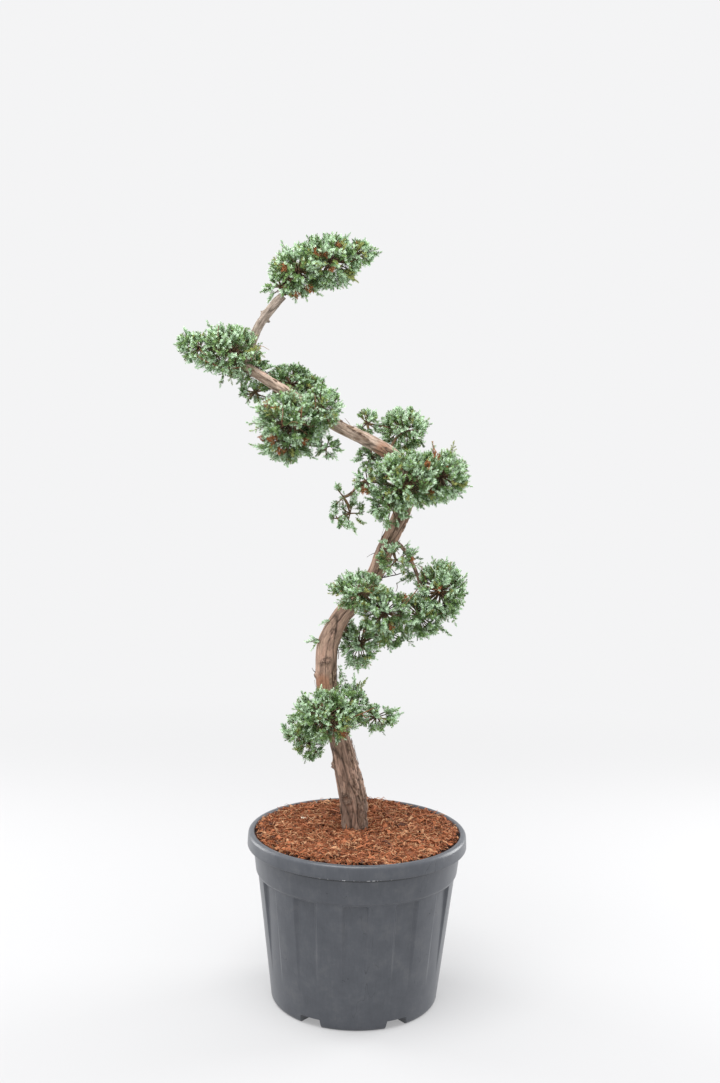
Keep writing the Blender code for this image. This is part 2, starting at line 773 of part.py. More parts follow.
def main():
    clear_scene()
    parts = new_collection("potted_juniper_bonsai")
    cutters = new_collection("cutters")
    plastic = new_material("pot_plastic")
    soil = new_material("bark_soil")
    bark = new_material("juniper_bark")
    needles = new_material("juniper_needles")
    build_pot(parts, cutters, plastic)
    build_soil(parts, soil)

    clearances = bpy.data.collections.new("stem_clearances")
    cutters.children.link(clearances)
    paths = {}
    clear = {}
    for name, (bends, rounds, carrier) in STEMS.items():
        paths[name] = smooth_path(bends)
        stem = stem_object(name, paths[name], parts, rounds, material=bark)
        clear[name] = stem_object(name + "_clearance", paths[name], clearances, rounds, CUTTER_GAP)
        mark_cutter(clear[name])
        if carrier is None:
            cut_level(stem, SOIL_CROWN + GAP)
        else:
            fit_to(stem, clear[carrier])
    for number, name in enumerate(MASSES):
        build_mass(name, number, list(paths.values()), clearances, parts, needles)


main()
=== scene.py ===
# %% [markdown]
# # A potted juniper, grown in code
#
# The object is a garden juniper trained as a tall bonsai, in a ribbed nursery pot. Its solids are
# already built, in model.glb. Here it gets its looks: moulded plastic, bark chips, peeling bark, and
# about four hundred thousand needles.
#
# Everything is in metres, +Z is up, and the origin is the centre of the pot's underside.

import math

import bpy
import numpy as np
from mathutils import Matrix, Vector, noise


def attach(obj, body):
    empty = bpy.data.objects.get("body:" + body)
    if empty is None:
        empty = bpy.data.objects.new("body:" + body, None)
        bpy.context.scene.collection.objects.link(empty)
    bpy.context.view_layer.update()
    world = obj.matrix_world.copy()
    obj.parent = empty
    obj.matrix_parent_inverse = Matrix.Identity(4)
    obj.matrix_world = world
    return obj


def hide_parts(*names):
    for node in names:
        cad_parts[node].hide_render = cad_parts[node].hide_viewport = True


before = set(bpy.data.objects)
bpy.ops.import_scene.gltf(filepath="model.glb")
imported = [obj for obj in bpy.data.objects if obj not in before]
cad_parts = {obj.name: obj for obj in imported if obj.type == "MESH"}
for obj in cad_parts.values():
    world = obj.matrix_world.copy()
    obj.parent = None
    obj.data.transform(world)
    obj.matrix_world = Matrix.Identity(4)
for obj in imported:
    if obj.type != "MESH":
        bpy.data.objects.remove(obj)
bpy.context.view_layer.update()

# %% [markdown]
# ## Helpers
#
# Colours are read off as sRGB hex values, as a paint program shows them. Blender's shaders count in
# linear light, so one function turns the first into the second. A second function adds a node with
# its settings and its links in one call, which keeps each material as short as its recipe.

# %% Colours, nodes and meshes


def linear(hex_code):
    """An sRGB hex value as a linear RGBA colour."""
    parts = [int(hex_code[i:i + 2], 16) / 255.0 for i in (0, 2, 4)]
    return [p / 12.92 if p <= 0.04045 else ((p + 0.055) / 1.055) ** 2.4 for p in parts] + [1.0]


def add(tree, kind, links=None, **settings):
    """A node with its settings; links maps a socket's name or number to a value or another socket."""
    made = tree.nodes.new(kind)
    for name, value in settings.items():
        setattr(made, name, value)
    for socket, value in (links or {}).items():
        if isinstance(value, bpy.types.NodeSocket):
            tree.links.new(value, made.inputs[socket])
        else:
            made.inputs[socket].default_value = value
    return made


def new_finish(name, roughness, ior=1.5):
    """A material with its Principled shader, ready for a recipe."""
    material = bpy.data.materials.new(name)
    material.use_nodes = True
    shader = material.node_tree.nodes["Principled BSDF"]
    shader.inputs["Roughness"].default_value = roughness
    shader.inputs["IOR"].default_value = ior
    shader.inputs["Metallic"].default_value = 0.0
    return material, material.node_tree, shader


def shade_ramp(tree, factor, *stops):
    """A colour ramp fed by a factor, with stops as (position, hex)."""
    ramp = add(tree, "ShaderNodeValToRGB", {0: factor})
    elements = ramp.color_ramp.elements
    while len(elements) < len(stops):
        elements.new(0.5)
    for element, (position, hex_code) in zip(elements, stops):
        element.position = position
        element.color = linear(hex_code)
    return ramp.outputs["Color"]


def mesh_piece(name, points, faces, finish, nodes, smooth=True):
    """A joined mesh from arrays, riding with the plant in place of the solids named."""
    points = np.asarray(points, np.float32).reshape(-1, 3)
    faces = np.asarray(faces, np.int32)
    mesh = bpy.data.meshes.new(name)
    mesh.vertices.add(len(points))
    mesh.vertices.foreach_set("co", points.ravel())
    mesh.loops.add(faces.size)
    mesh.loops.foreach_set("vertex_index", faces.ravel())
    mesh.polygons.add(len(faces))
    mesh.polygons.foreach_set("loop_start", np.arange(0, faces.size, faces.shape[1]))
    mesh.update(calc_edges=True)
    mesh.polygons.foreach_set("use_smooth", np.full(len(faces), smooth))
    mesh.materials.append(finish)
    item = bpy.data.objects.new(name, mesh)
    bpy.context.scene.collection.objects.link(item)
    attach(item, "root")
    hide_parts(*nodes)
    print(f"{name}: {len(points)} points, {len(faces) * (faces.shape[1] - 2)} triangles")
    return item


def smoothstep(low, high, value):
    share = np.clip((value - low) / (high - low), 0.0, 1.0)
    return share * share * (3.0 - 2.0 * share)


# %% [markdown]
# ## The pot's shape
#
# A nursery pot is injection moulded: one thin wall with a rolled rim, a plain collar, twelve shallow
# sunk panels that stiffen it, and notches in the foot that let water out. A lathe profile gives the
# round parts. The panels and notches could be cut with Booleans and bevelled afterwards, but a mesh
# whose columns stand exactly on their edges keeps the edges soft and the rest perfectly round. So the
# pot is a grid: rows down the profile, columns round it, and a function that sinks each point.

# %% Pot sizes
RIM_RADIUS, POT_HEIGHT, RIM_WIDTH, RIM_SKIRT = 0.2404, 0.3783, 0.0155, 0.0306
COLLAR_TOP_RADIUS, COLLAR_FOOT_RADIUS, COLLAR_FOOT = 0.2274, 0.2205, 0.2870
WALL_TOP_RADIUS, WALL_FOOT_RADIUS = 0.2165, 0.1825
PANEL_COUNT, PANEL_HALF, PANEL_SLOPE = 12, 7.75, 2.1
PANEL_LIP = 0.0011
PANEL_TOP, PANEL_FOOT, PANEL_DEPTH = 0.2862, 0.0750, 0.0070
NOTCH_HALF, NOTCH_HEIGHT, NOTCH_INNER_RADIUS, NOTCH_SLANT = 7.2, 0.0190, 0.1400, 1.1
FOOT_ROUNDING = 0.0045


def wall_radius(z):
    return WALL_FOOT_RADIUS + (WALL_TOP_RADIUS - WALL_FOOT_RADIUS) * z / COLLAR_FOOT


def panel_sink(degrees_off, z):
    """How deep a panel lies below the wall, degrees_off from the panel's middle."""
    across = 1.0 - smoothstep(PANEL_HALF - PANEL_SLOPE, PANEL_HALF, degrees_off)
    below_top = 1.0 - smoothstep(PANEL_TOP - 0.0045, PANEL_TOP, z)
    depth = PANEL_DEPTH * np.clip((z - PANEL_FOOT) / (PANEL_TOP - PANEL_FOOT), 0.0, 1.0)
    # A small lip stands out along the panel's top edge
    lip = PANEL_LIP * np.exp(-((z - PANEL_TOP + 0.0016) / 0.0011) ** 2)
    return across * (below_top * depth - lip)


# %% The pot as a grid
half_sector = [0, 1.5, 3, 4.5, 5.3, 5.65, 6.0, 6.35, 6.7, 7.14, 7.26, 7.5, 7.75, 7.95, 8.4, 9.4, 11, 13]
sector = [-d for d in reversed(half_sector[1:])] + half_sector + [15]
columns = np.array([30.0 * k + d for k in range(PANEL_COUNT) for d in sector]) - 90.0
from_panel = np.abs((columns + 90.0 + 15.0) % 30.0 - 15.0)
from_notch = (columns + 90.0) % 60.0 - 30.0
in_notch = 1.0 - smoothstep(NOTCH_HALF - 0.06, NOTCH_HALF + 0.06, np.abs(from_notch))

skirt_foot = POT_HEIGHT - RIM_SKIRT
inner_rim = RIM_RADIUS - RIM_WIDTH
rim_rows = [(inner_rim - 0.006, 0.3300), (inner_rim - 0.003, 0.3500), (inner_rim, POT_HEIGHT - 0.005),
            (inner_rim + 0.0006, POT_HEIGHT - 0.0022), (inner_rim + 0.0020, POT_HEIGHT - 0.0006),
            (inner_rim + 0.0038, POT_HEIGHT)]
for turn in np.radians(np.linspace(90, 8, 9)):
    rim_rows.append((RIM_RADIUS - 0.0092 + 0.0080 * math.cos(turn),
                     POT_HEIGHT - 0.0080 + 0.0080 * math.sin(turn)))
rim_rows += [(RIM_RADIUS - 0.0008, 0.3640), (RIM_RADIUS - 0.0003, 0.3560),
             (RIM_RADIUS, skirt_foot + 0.0022), (RIM_RADIUS - 0.0004, skirt_foot + 0.0008),
             (RIM_RADIUS - 0.0016, skirt_foot + 0.0002), (RIM_RADIUS - 0.0060, skirt_foot + 0.0008),
             (COLLAR_TOP_RADIUS + 0.0006, skirt_foot + 0.0010), (COLLAR_TOP_RADIUS, skirt_foot - 0.001)]
for z in np.linspace(0.3450, 0.2945, 16):
    share = (z - COLLAR_FOOT) / (skirt_foot - COLLAR_FOOT)
    rim_rows.append((COLLAR_FOOT_RADIUS + (COLLAR_TOP_RADIUS - COLLAR_FOOT_RADIUS) * share, z))
rim_rows += [(COLLAR_FOOT_RADIUS + 0.0003, 0.2920), (COLLAR_FOOT_RADIUS - 0.0006, 0.2905),
             (WALL_TOP_RADIUS + 0.0012, 0.2882), (WALL_TOP_RADIUS + 0.0002, 0.2870)]
wall_z = np.concatenate([np.linspace(0.2862, 0.2812, 11), np.linspace(0.277, 0.028, 46),
                         [0.0240, 0.0205, 0.0193]])
foot_z = np.array([0.0187, 0.0150, 0.0115, 0.0085, 0.0062, 0.0042, 0.0026, 0.0013])


def pot_row(radius, z):
    """One ring of the pot, with the columns leaned apart where a notch widens to the floor."""
    low = np.clip(1.0 - z / NOTCH_HEIGHT, 0.0, 1.0)
    lean = NOTCH_SLANT * np.exp(-((np.abs(from_notch) - NOTCH_HALF) / 1.6) ** 2) * low
    turned = np.radians(columns + np.sign(from_notch) * lean)
    return np.stack([radius * np.cos(turned), radius * np.sin(turned), z * np.ones_like(turned)], 1)


rows = [pot_row(np.full(len(columns), r), np.full(len(columns), z)) for r, z in rim_rows]
rows += [pot_row(wall_radius(z) - panel_sink(from_panel, z), np.full(len(columns), z)) for z in wall_z]
for z in foot_z:
    lifted = np.where(in_notch > 0.5, NOTCH_HEIGHT - (NOTCH_HEIGHT - z) * 0.02, z)
    rounding = FOOT_ROUNDING * max(0.0, 1.0 - z / 0.0090) ** 2 * (1.0 - in_notch)
    rows.append(pot_row(wall_radius(z) - rounding, lifted))
for radius in (WALL_FOOT_RADIUS - 0.0062, 0.170, 0.155, NOTCH_INNER_RADIUS + 0.0005):
    rows.append(pot_row(np.full(len(columns), radius), 0.0004 + (NOTCH_HEIGHT - 0.0004) * in_notch))
for radius in (NOTCH_INNER_RADIUS - 0.0005, 0.10, 0.05, 0.012):
    rows.append(pot_row(np.full(len(columns), radius), np.full(len(columns), 0.0004)))
pot_points = np.stack(rows)
row_count, column_count = pot_points.shape[:2]


def grid_faces(row_count, column_count, closed=True):
    """Quads of a grid; closed joins its last column to its first."""
    columns_used = column_count if closed else column_count - 1
    r, c = np.meshgrid(np.arange(row_count - 1), np.arange(columns_used), indexing="ij")
    after = (c + 1) % column_count
    quads = np.stack([r * column_count + c, r * column_count + after,
                      (r + 1) * column_count + after, (r + 1) * column_count + c], -1)
    return quads.reshape(-1, 4)


print("pot grid:", row_count, "rows by", column_count, "columns")

# %% [markdown]
# ## The pot's finish
#
# The pot is recycled polypropylene, moulded against a lightly blasted steel tool. That gives a nearly
# black grey skin with a soft sheen: IOR about 1.49, roughness about 0.35. Its middle looks dark and
# its sides look pale, and that isn't paint: a glancing surface mirrors the bright room. Handling
# leaves faint dust, upright scuffs and small white nicks along the skirt's edge. Noise patterns make
# these; masks by height and place put them where hands and tools reach. A dark band under the skirt is
# painted shade, where the skirt's overhang shades the collar.

# %% Moulded polypropylene
plastic, tree, shader = new_finish("moulded_polypropylene", 0.36, 1.49)
place = add(tree, "ShaderNodeTexCoord").outputs["Object"]
apart = add(tree, "ShaderNodeSeparateXYZ", {0: place})
# Dust in clouds about 40 mm across
clouds = add(tree, "ShaderNodeTexNoise", {"Vector": place, "Scale": 24.0, "Detail": 7.0, "Roughness": 0.68})
dusted = shade_ramp(tree, clouds.outputs["Fac"], (0.34, "474A50"), (0.52, "4D5056"), (0.70, "585A5E"))
# Upright scuffs about 3 mm wide and 40 mm long
upright = add(tree, "ShaderNodeMapping", {"Vector": place, "Scale": (1.0, 1.0, 0.07)})
scuffs = add(tree, "ShaderNodeTexNoise", {"Vector": upright.outputs[0], "Scale": 300.0, "Detail": 3.0,
                                          "Roughness": 0.6})
scuff_shade = add(tree, "ShaderNodeMapRange", {0: scuffs.outputs["Fac"], 1: 0.3, 2: 0.7, 3: 0.95, 4: 1.05})
scuffed = add(tree, "ShaderNodeVectorMath", {0: dusted, 3: scuff_shade.outputs[0]}, operation="SCALE")
# Scratches under 1 mm wide, where a stretched noise crosses its middle value
slanted = add(tree, "ShaderNodeMapping", {"Vector": place, "Rotation": (0.3, 0.4, 0.0),
                                          "Scale": (1.0, 1.0, 0.35)})
hair = add(tree, "ShaderNodeTexNoise", {"Vector": slanted.outputs[0], "Scale": 26.0, "Detail": 2.0,
                                        "Roughness": 0.4})
off_middle = add(tree, "ShaderNodeMath", {0: hair.outputs["Fac"], 1: 0.52}, operation="SUBTRACT")
off_size = add(tree, "ShaderNodeMath", {0: off_middle.outputs[0]}, operation="ABSOLUTE")
thin = add(tree, "ShaderNodeMapRange", {0: off_size.outputs[0], 1: 0.0, 2: 0.0045, 3: 1.0, 4: 0.0})
patches = add(tree, "ShaderNodeTexNoise", {"Vector": place, "Scale": 13.0, "Detail": 3.0})
here = add(tree, "ShaderNodeMapRange", {0: patches.outputs["Fac"], 1: 0.54, 2: 0.62})
scratch = add(tree, "ShaderNodeMath", {0: thin.outputs[0], 1: here.outputs[0]}, operation="MULTIPLY")
scratched = add(tree, "ShaderNodeMix", {0: scratch.outputs[0], 6: scuffed.outputs[0], 7: linear("3C3E43")},
                data_type="RGBA")
# Painted shade: a dark band on the collar where it meets the skirt, under the skirt's overhang
shade_band_top = add(tree, "ShaderNodeMapRange", {0: apart.outputs["Z"], 1: 0.3400, 2: 0.3432})
shade_band_end = add(tree, "ShaderNodeMapRange", {0: apart.outputs["Z"], 1: 0.3476, 2: 0.3480, 3: 1.0, 4: 0.0})
chip_grime_and_skirt_shade = add(tree, "ShaderNodeMath", {0: shade_band_top.outputs[0], 1: shade_band_end.outputs[0]},
            operation="MULTIPLY")
skirt_shaded = add(tree, "ShaderNodeMix", {0: chip_grime_and_skirt_shade.outputs[0], 6: scratched.outputs[2], 7: linear("17181A")},
            data_type="RGBA")
# White nicks along the skirt's edge, on the side that gets knocked
edge_low = add(tree, "ShaderNodeMapRange", {0: apart.outputs["Z"], 1: 0.3476, 2: 0.3479})
edge_high = add(tree, "ShaderNodeMapRange", {0: apart.outputs["Z"], 1: 0.3492, 2: 0.3498, 3: 1.0, 4: 0.0})
knocked = add(tree, "ShaderNodeMapRange", {0: apart.outputs["Y"], 1: -0.225, 2: -0.235})
chips_noise = add(tree, "ShaderNodeTexNoise", {"Vector": place, "Scale": 150.0, "Detail": 2.0})
chipped = add(tree, "ShaderNodeMapRange", {0: chips_noise.outputs["Fac"], 1: 0.57, 2: 0.60})
nick = add(tree, "ShaderNodeMath", {0: edge_low.outputs[0], 1: edge_high.outputs[0]}, operation="MULTIPLY")
nick = add(tree, "ShaderNodeMath", {0: nick.outputs[0], 1: knocked.outputs[0]}, operation="MULTIPLY")
nick = add(tree, "ShaderNodeMath", {0: nick.outputs[0], 1: chipped.outputs[0]}, operation="MULTIPLY")
nicked = add(tree, "ShaderNodeMix", {0: nick.outputs[0], 6: skirt_shaded.outputs[2], 7: linear("D5D6D8")},
             data_type="RGBA")
tree.links.new(nicked.outputs[2], shader.inputs["Base Color"])
rough = add(tree, "ShaderNodeMapRange", {0: clouds.outputs["Fac"], 1: 0.3, 2: 0.75, 3: 0.27, 4: 0.40})
tree.links.new(rough.outputs[0], shader.inputs["Roughness"])
# Blasted grain, drawn at about 1 mm because the real 0.2 mm is too fine to show
grain = add(tree, "ShaderNodeTexNoise", {"Vector": place, "Scale": 900.0, "Detail": 2.0})
bump = add(tree, "ShaderNodeBump", {"Strength": 0.10, "Distance": 0.0006, "Height": grain.outputs["Fac"]})
# The wall's slight waves, 60 mm long
waves = add(tree, "ShaderNodeTexNoise", {"Vector": place, "Scale": 16.0, "Detail": 1.0})
wavy = add(tree, "ShaderNodeBump", {"Strength": 0.35, "Distance": 0.004, "Height": waves.outputs["Fac"],
                                    "Normal": bump.outputs[0]})
tree.links.new(wavy.outputs[0], shader.inputs["Normal"])

mesh_piece("moulded_pot", pot_points, grid_faces(row_count, column_count)[:, ::-1], plastic,
           ["pot"])

# %% [markdown]
# ## The potting mix
#
# The pot is filled with bark chips and curled coir fibres in orange and brown, low in the middle of
# each hollow and heaped in small mounds. A displaced disc alone would look like a carpet, so the disc
# only closes the ground, painted dark as the shade in the gaps between chips, and thousands of bent
# flakes and fibres lie on it. Each is a few faces, and each tint is one joined mesh with its own plain
# colour.

# %% Ground under the chips
SOIL_EDGE, SOIL_CROWN, SOIL_RADIUS = 0.3738, 0.3828, 0.2238


def soil_height(x, y):
    """The mix's surface: a low dome with mounds about 50 mm wide and lumps of about 15 mm."""
    share = math.hypot(x, y) / SOIL_RADIUS
    dome = SOIL_EDGE + (SOIL_CROWN - SOIL_EDGE) * (1.0 - share ** 2) * 0.6
    mounds = 0.0045 * noise.noise(Vector((x, y, 0.3)) * 22.0)
    return dome + mounds + 0.0030 * noise.noise(Vector((x, y, 2.3)) * 65.0)


soil_rings, soil_spokes = 44, 150
soil_points = []
for ring in range(soil_rings + 1):
    radius = 0.004 + (SOIL_RADIUS - 0.004) * ring / soil_rings
    for spoke in range(soil_spokes):
        angle = math.tau * spoke / soil_spokes
        x, y = radius * math.cos(angle), radius * math.sin(angle)
        rough_height = 0.0016 * noise.noise(Vector((x, y, 1.7)) * 160.0)
        soil_points.append((x, y, soil_height(x, y) - 0.0046 + rough_height))
shaded_ground_finish, tree, shader = new_finish("bark_ground_painted_shade", 0.95)
place = add(tree, "ShaderNodeTexCoord").outputs["Object"]
# Crumbs about 4 mm across
crumbs = add(tree, "ShaderNodeTexNoise", {"Vector": place, "Scale": 260.0, "Detail": 5.0})
# Painted shade: the ground is dark brown to black, the way the gaps between chips look in shade
tree.links.new(shade_ramp(tree, crumbs.outputs["Fac"], (0.35, "1C0E08"), (0.55, "3E2012"), (0.7, "60331C")),
               shader.inputs["Base Color"])
mesh_piece("soil_ground", soil_points, grid_faces(soil_rings + 1, soil_spokes), shaded_ground_finish,
           ["soil"])

# %% Chips and fibres
CHIP_TINTS = {"chip_orange": ("A8643E", 0.85), "chip_tan": ("C2916A", 0.85),
              "chip_brown": ("7C4628", 0.9), "chip_dark": ("4E2A1A", 0.92), "chip_pale": ("E6D8C4", 0.8)}
CHIP_SHARES = (0.40, 0.17, 0.31, 0.116, 0.004)
CHIP_COUNT, FIBRE_COUNT = 4200, 7000
rng = np.random.default_rng(11)


def scatter_on_soil(count, outer, inner=0.024):
    """Even random places on the mix between the trunk and the pot's wall."""
    radius = np.sqrt(rng.uniform((inner / outer) ** 2, 1.0, count)) * outer
    angle = rng.uniform(0, math.tau, count)
    x, y = radius * np.cos(angle), radius * np.sin(angle)
    return x, y, np.array([soil_height(a, b) for a, b in zip(x, y)])


def frames_from(forward, twist):
    """Unit vectors along, across and above for each forward direction, rolled by the twist."""
    forward = forward / np.linalg.norm(forward, axis=1, keepdims=True)
    helper = np.where(np.abs(forward[:, 2:3]) > 0.9, [[1.0, 0.0, 0.0]], [[0.0, 0.0, 1.0]])
    across = np.cross(forward, helper)
    across /= np.linalg.norm(across, axis=1, keepdims=True)
    above = np.cross(across, forward)
    c, s = np.cos(twist)[:, None], np.sin(twist)[:, None]
    return forward, across * c + above * s, above * c - across * s


def flake_mesh(middle, forward, roll, length, width, thick, bend):
    """Bent flakes: a strip of three cross-sections, closed as a thin box."""
    forward, across, above = frames_from(forward, roll)
    points = []
    for along, lift, narrow in ((-0.5, 0.0, 0.6), (0.0, 1.0, 1.0), (0.5, 0.0, 0.45)):
        spot = middle + forward * (along * length)[:, None] + above * (lift * bend)[:, None]
        for side, level in ((-1, 1), (1, 1), (1, -1), (-1, -1)):
            points.append(spot + across * (side * 0.5 * narrow * width)[:, None]
                          + above * (level * 0.5 * thick)[:, None])
    quads = [[3, 2, 1, 0], [8, 9, 10, 11]]
    for section in (0, 4):
        for corner in range(4):
            after = (corner + 1) % 4
            quads.append([section + corner, section + after, section + 4 + after, section + 4 + corner])
    return np.stack(points, 1), np.array(quads)


def chip_mesh(count):
    """Chips lying any way up, most of them nearly flat."""
    x, y, z = scatter_on_soil(count, SOIL_RADIUS - 0.004)
    length = rng.gamma(5.0, 0.0032, count).clip(0.007, 0.034)
    width = (length * rng.uniform(0.16, 0.38, count)).clip(0.002, 0.0080)
    heading = rng.uniform(0, math.tau, count)
    pitch = rng.normal(0, 0.34, count)
    forward = np.stack([np.cos(heading) * np.cos(pitch), np.sin(heading) * np.cos(pitch),
                        np.sin(pitch)], 1)
    middle = np.stack([x, y, z + rng.uniform(-0.0010, 0.0034, count)], 1)
    edge_room = (SOIL_RADIUS - np.hypot(x, y)) / 0.5
    length = np.minimum(length, np.maximum(edge_room, 0.006))
    return flake_mesh(middle, forward, rng.normal(0, 0.6, count), length, width,
                      rng.uniform(0.0006, 0.0013, count), rng.uniform(-0.20, 0.36, count) * length)


def tube_mesh(paths, radii, sides):
    """Tubes along paths of equal length; paths is (count, knots, 3) and radii (count, knots)."""
    count, knots = radii.shape
    tangent = np.gradient(paths, axis=1)
    tangent /= np.linalg.norm(tangent, axis=2, keepdims=True) + 1e-12
    helper = np.where(np.abs(tangent[:, :1, 2:3]) > 0.9, [[[1.0, 0.0, 0.0]]], [[[0.0, 0.0, 1.0]]])
    across = np.cross(tangent, np.broadcast_to(helper, tangent.shape))
    across /= np.linalg.norm(across, axis=2, keepdims=True) + 1e-12
    above = np.cross(across, tangent)
    turns = np.arange(sides) * math.tau / sides
    ring = (across[:, :, None] * np.cos(turns)[:, None] + above[:, :, None] * np.sin(turns)[:, None])
    points = (paths[:, :, None] + ring * radii[:, :, None, None]).reshape(count, knots * sides, 3)
    quads = []
    for knot in range(knots - 1):
        for side in range(sides):
            after = (side + 1) % sides
            quads.append([knot * sides + side, knot * sides + after,
                          (knot + 1) * sides + after, (knot + 1) * sides + side])
    return points, np.array(quads)


def joined(points, faces):
    """Copies of one small mesh as one mesh: points is (count, n, 3)."""
    offsets = np.arange(len(points))[:, None, None] * points.shape[1]
    return points.reshape(-1, 3), (faces[None] + offsets).reshape(-1, faces.shape[1])


def fibre_mesh(count):
    """Curled coir fibres as thin three-sided tubes."""
    x, y, z = scatter_on_soil(count, SOIL_RADIUS - 0.012)
    heading = rng.uniform(0, math.tau, count)
    turn = rng.normal(0, 1.0, count)
    length = rng.uniform(0.012, 0.036, count)
    knots = 5
    paths = np.zeros((count, knots, 3))
    spot = np.stack([x, y, z + rng.uniform(0.0005, 0.0035, count)], 1)
    for knot in range(knots):
        paths[:, knot] = spot
        angle = heading + turn * knot / 2.0
        step = np.stack([np.cos(angle), np.sin(angle), rng.normal(0, 0.25, count)], 1)
        spot = spot + step * (length / (knots - 1))[:, None]
    paths[:, :, 2] += np.sin(np.linspace(0, math.pi, knots)) * rng.uniform(0.0, 0.0045, count)[:, None]
    far = np.hypot(paths[:, :, 0], paths[:, :, 1])
    paths[:, :, :2] *= np.minimum(1.0, (SOIL_RADIUS - 0.001) / far)[:, :, None]
    radii = np.full((count, knots), 0.00075) * rng.uniform(0.6, 1.5, count)[:, None]
    radii[:, -1] *= 0.3
    return tube_mesh(paths, radii, 3)


chips, chip_faces = chip_mesh(CHIP_COUNT)
fibres, fibre_faces = fibre_mesh(FIBRE_COUNT)
chip_kind = rng.choice(len(CHIP_TINTS), CHIP_COUNT, p=CHIP_SHARES)
fibre_kind = rng.choice(3, FIBRE_COUNT, p=(0.48, 0.27, 0.25))
for kind, (name, (hex_code, roughness)) in enumerate(CHIP_TINTS.items()):
    finish, tree, shader = new_finish(name.replace("chip", "composted_bark"), roughness)
    place = add(tree, "ShaderNodeTexCoord").outputs["Object"]
    # Wood fibre and grime at about 3 mm
    chip_grime_and_skirt_shade = add(tree, "ShaderNodeTexNoise", {"Vector": place, "Scale": 330.0, "Detail": 4.0})
    shade = add(tree, "ShaderNodeMapRange", {0: chip_grime_and_skirt_shade.outputs["Fac"], 1: 0.3, 2: 0.7, 3: 0.6, 4: 1.3})
    tint = add(tree, "ShaderNodeVectorMath", {0: linear(hex_code)[:3], 3: shade.outputs[0]},
               operation="SCALE")
    tree.links.new(tint.outputs[0], shader.inputs["Base Color"])
    points, faces = joined(chips[chip_kind == kind], chip_faces)
    mesh_piece(name + "s", points, faces, finish, ["soil"], smooth=False)
    if kind < 3:
        points, faces = joined(fibres[fibre_kind == kind], fibre_faces)
        mesh_piece(name.replace("chip", "fibre") + "s", points, faces, finish, ["soil"])

# %% [markdown]
# ## The stems
#
# The trunk and limbs follow the same bends as the solids. Juniper bark peels in long upright strips:
# each strip is a plate a centimetre wide and several long, with dark furrows between. A sculpted
# bump map would leave the outline smooth, so the relief moves the mesh itself, at about 1.5 mm a
# face. The strips come from a cell pattern that is squeezed along the stem's own length, which makes
# the cells long in whichever direction the limb runs.

# %% Stem bends
STEMS = {
    "trunk": [(-0.006, 0.005, 0.360, 0.0320), (-0.007, 0.005, 0.400, 0.0283),
              (-0.009, 0.005, 0.436, 0.0292), (-0.019, 0.004, 0.484, 0.0283),
              (-0.036, 0.002, 0.556, 0.0240), (-0.071, 0.012, 0.690, 0.0230),
              (-0.075, 0.016, 0.752, 0.0235), (-0.070, 0.016, 0.796, 0.0225),
              (-0.040, 0.012, 0.856, 0.0192), (0.021, 0.003, 0.935, 0.0170),
              (0.047, -0.002, 1.001, 0.0173), (0.079, -0.002, 1.075, 0.0170),
              (0.098, 0.006, 1.138, 0.0162), (0.104, 0.010, 1.184, 0.0140)],
    "middle_limb": [(0.100, 0.009, 1.166, 0.0140), (0.047, 0.004, 1.209, 0.0156),
                    (-0.006, 0.000, 1.238, 0.0140), (-0.064, -0.003, 1.265, 0.0130),
                    (-0.141, -0.004, 1.315, 0.0112), (-0.219, 0.000, 1.360, 0.0108),
                    (-0.264, 0.004, 1.388, 0.0092)],
    "top_leader": [(-0.256, 0.003, 1.380, 0.0082), (-0.252, 0.000, 1.414, 0.0088),
                   (-0.231, -0.004, 1.468, 0.0092), (-0.199, -0.006, 1.513, 0.0096),
                   (-0.180, -0.006, 1.533, 0.0088)],
    "fork_bough": [(0.058, -0.004, 1.022, 0.0046), (0.080, -0.014, 1.010, 0.0043),
                   (0.101, -0.020, 0.982, 0.0040), (0.118, -0.022, 0.945, 0.0038),
                   (0.124, -0.022, 0.926, 0.0036)],
    "hanging_bough": [(0.088, 0.000, 1.112, 0.0040), (0.050, -0.014, 1.142, 0.0036),
                      (0.008, -0.012, 1.148, 0.0032), (-0.012, -0.004, 1.138, 0.0029),
                      (-0.027, 0.000, 1.120, 0.0026)],
}
GROUND = 0.3700


def smooth_path(bends, samples):
    """Points and radii on a Catmull-Rom curve through the bends."""
    knots = np.array(bends)
    knots = np.vstack([2 * knots[0] - knots[1], knots, 2 * knots[-1] - knots[-2]])
    path = []
    for before, start, end, after in zip(knots, knots[1:], knots[2:], knots[3:]):
        for t in np.arange(samples) / samples:
            path.append(0.5 * (2 * start + (end - before) * t
                               + (2 * before - 5 * start + 4 * end - after) * t ** 2
                               + (3 * start - before - 3 * end + after) * t ** 3))
    path.append(knots[-2])
    return np.array(path)


def even_path(bends, spacing):
    """The same curve, resampled at an even spacing along its length."""
    path = smooth_path(bends, 24)
    run = np.concatenate([[0.0], np.cumsum(np.linalg.norm(np.diff(path[:, :3], axis=0), axis=1))])
    places = np.linspace(0.0, run[-1], max(8, int(run[-1] / spacing)))
    return np.stack([np.interp(places, run, path[:, i]) for i in range(4)], 1), places


def carried_frames(points):
    """Directions along, across and above the path, turned as little as the path allows."""
    tangent = np.gradient(points, axis=0)
    tangent /= np.linalg.norm(tangent, axis=1, keepdims=True)
    across = np.zeros_like(tangent)
    side = np.cross(tangent[0], (0.0, 1.0, 0.0))
    for i, way in enumerate(tangent):
        side = side - way * side.dot(way)
        side /= np.linalg.norm(side)
        across[i] = side
    return tangent, across, np.cross(tangent, across)


stem_paths = {name: smooth_path(bends, 6) for name, bends in STEMS.items()}
for name, path in stem_paths.items():
    length = np.linalg.norm(np.diff(path[:, :3], axis=0), axis=1).sum()
    print(f"{name}: {length * 1000:.0f} mm long, {path[0, 3] * 2000:.0f} to {path[-1, 3] * 2000:.0f} mm thick")
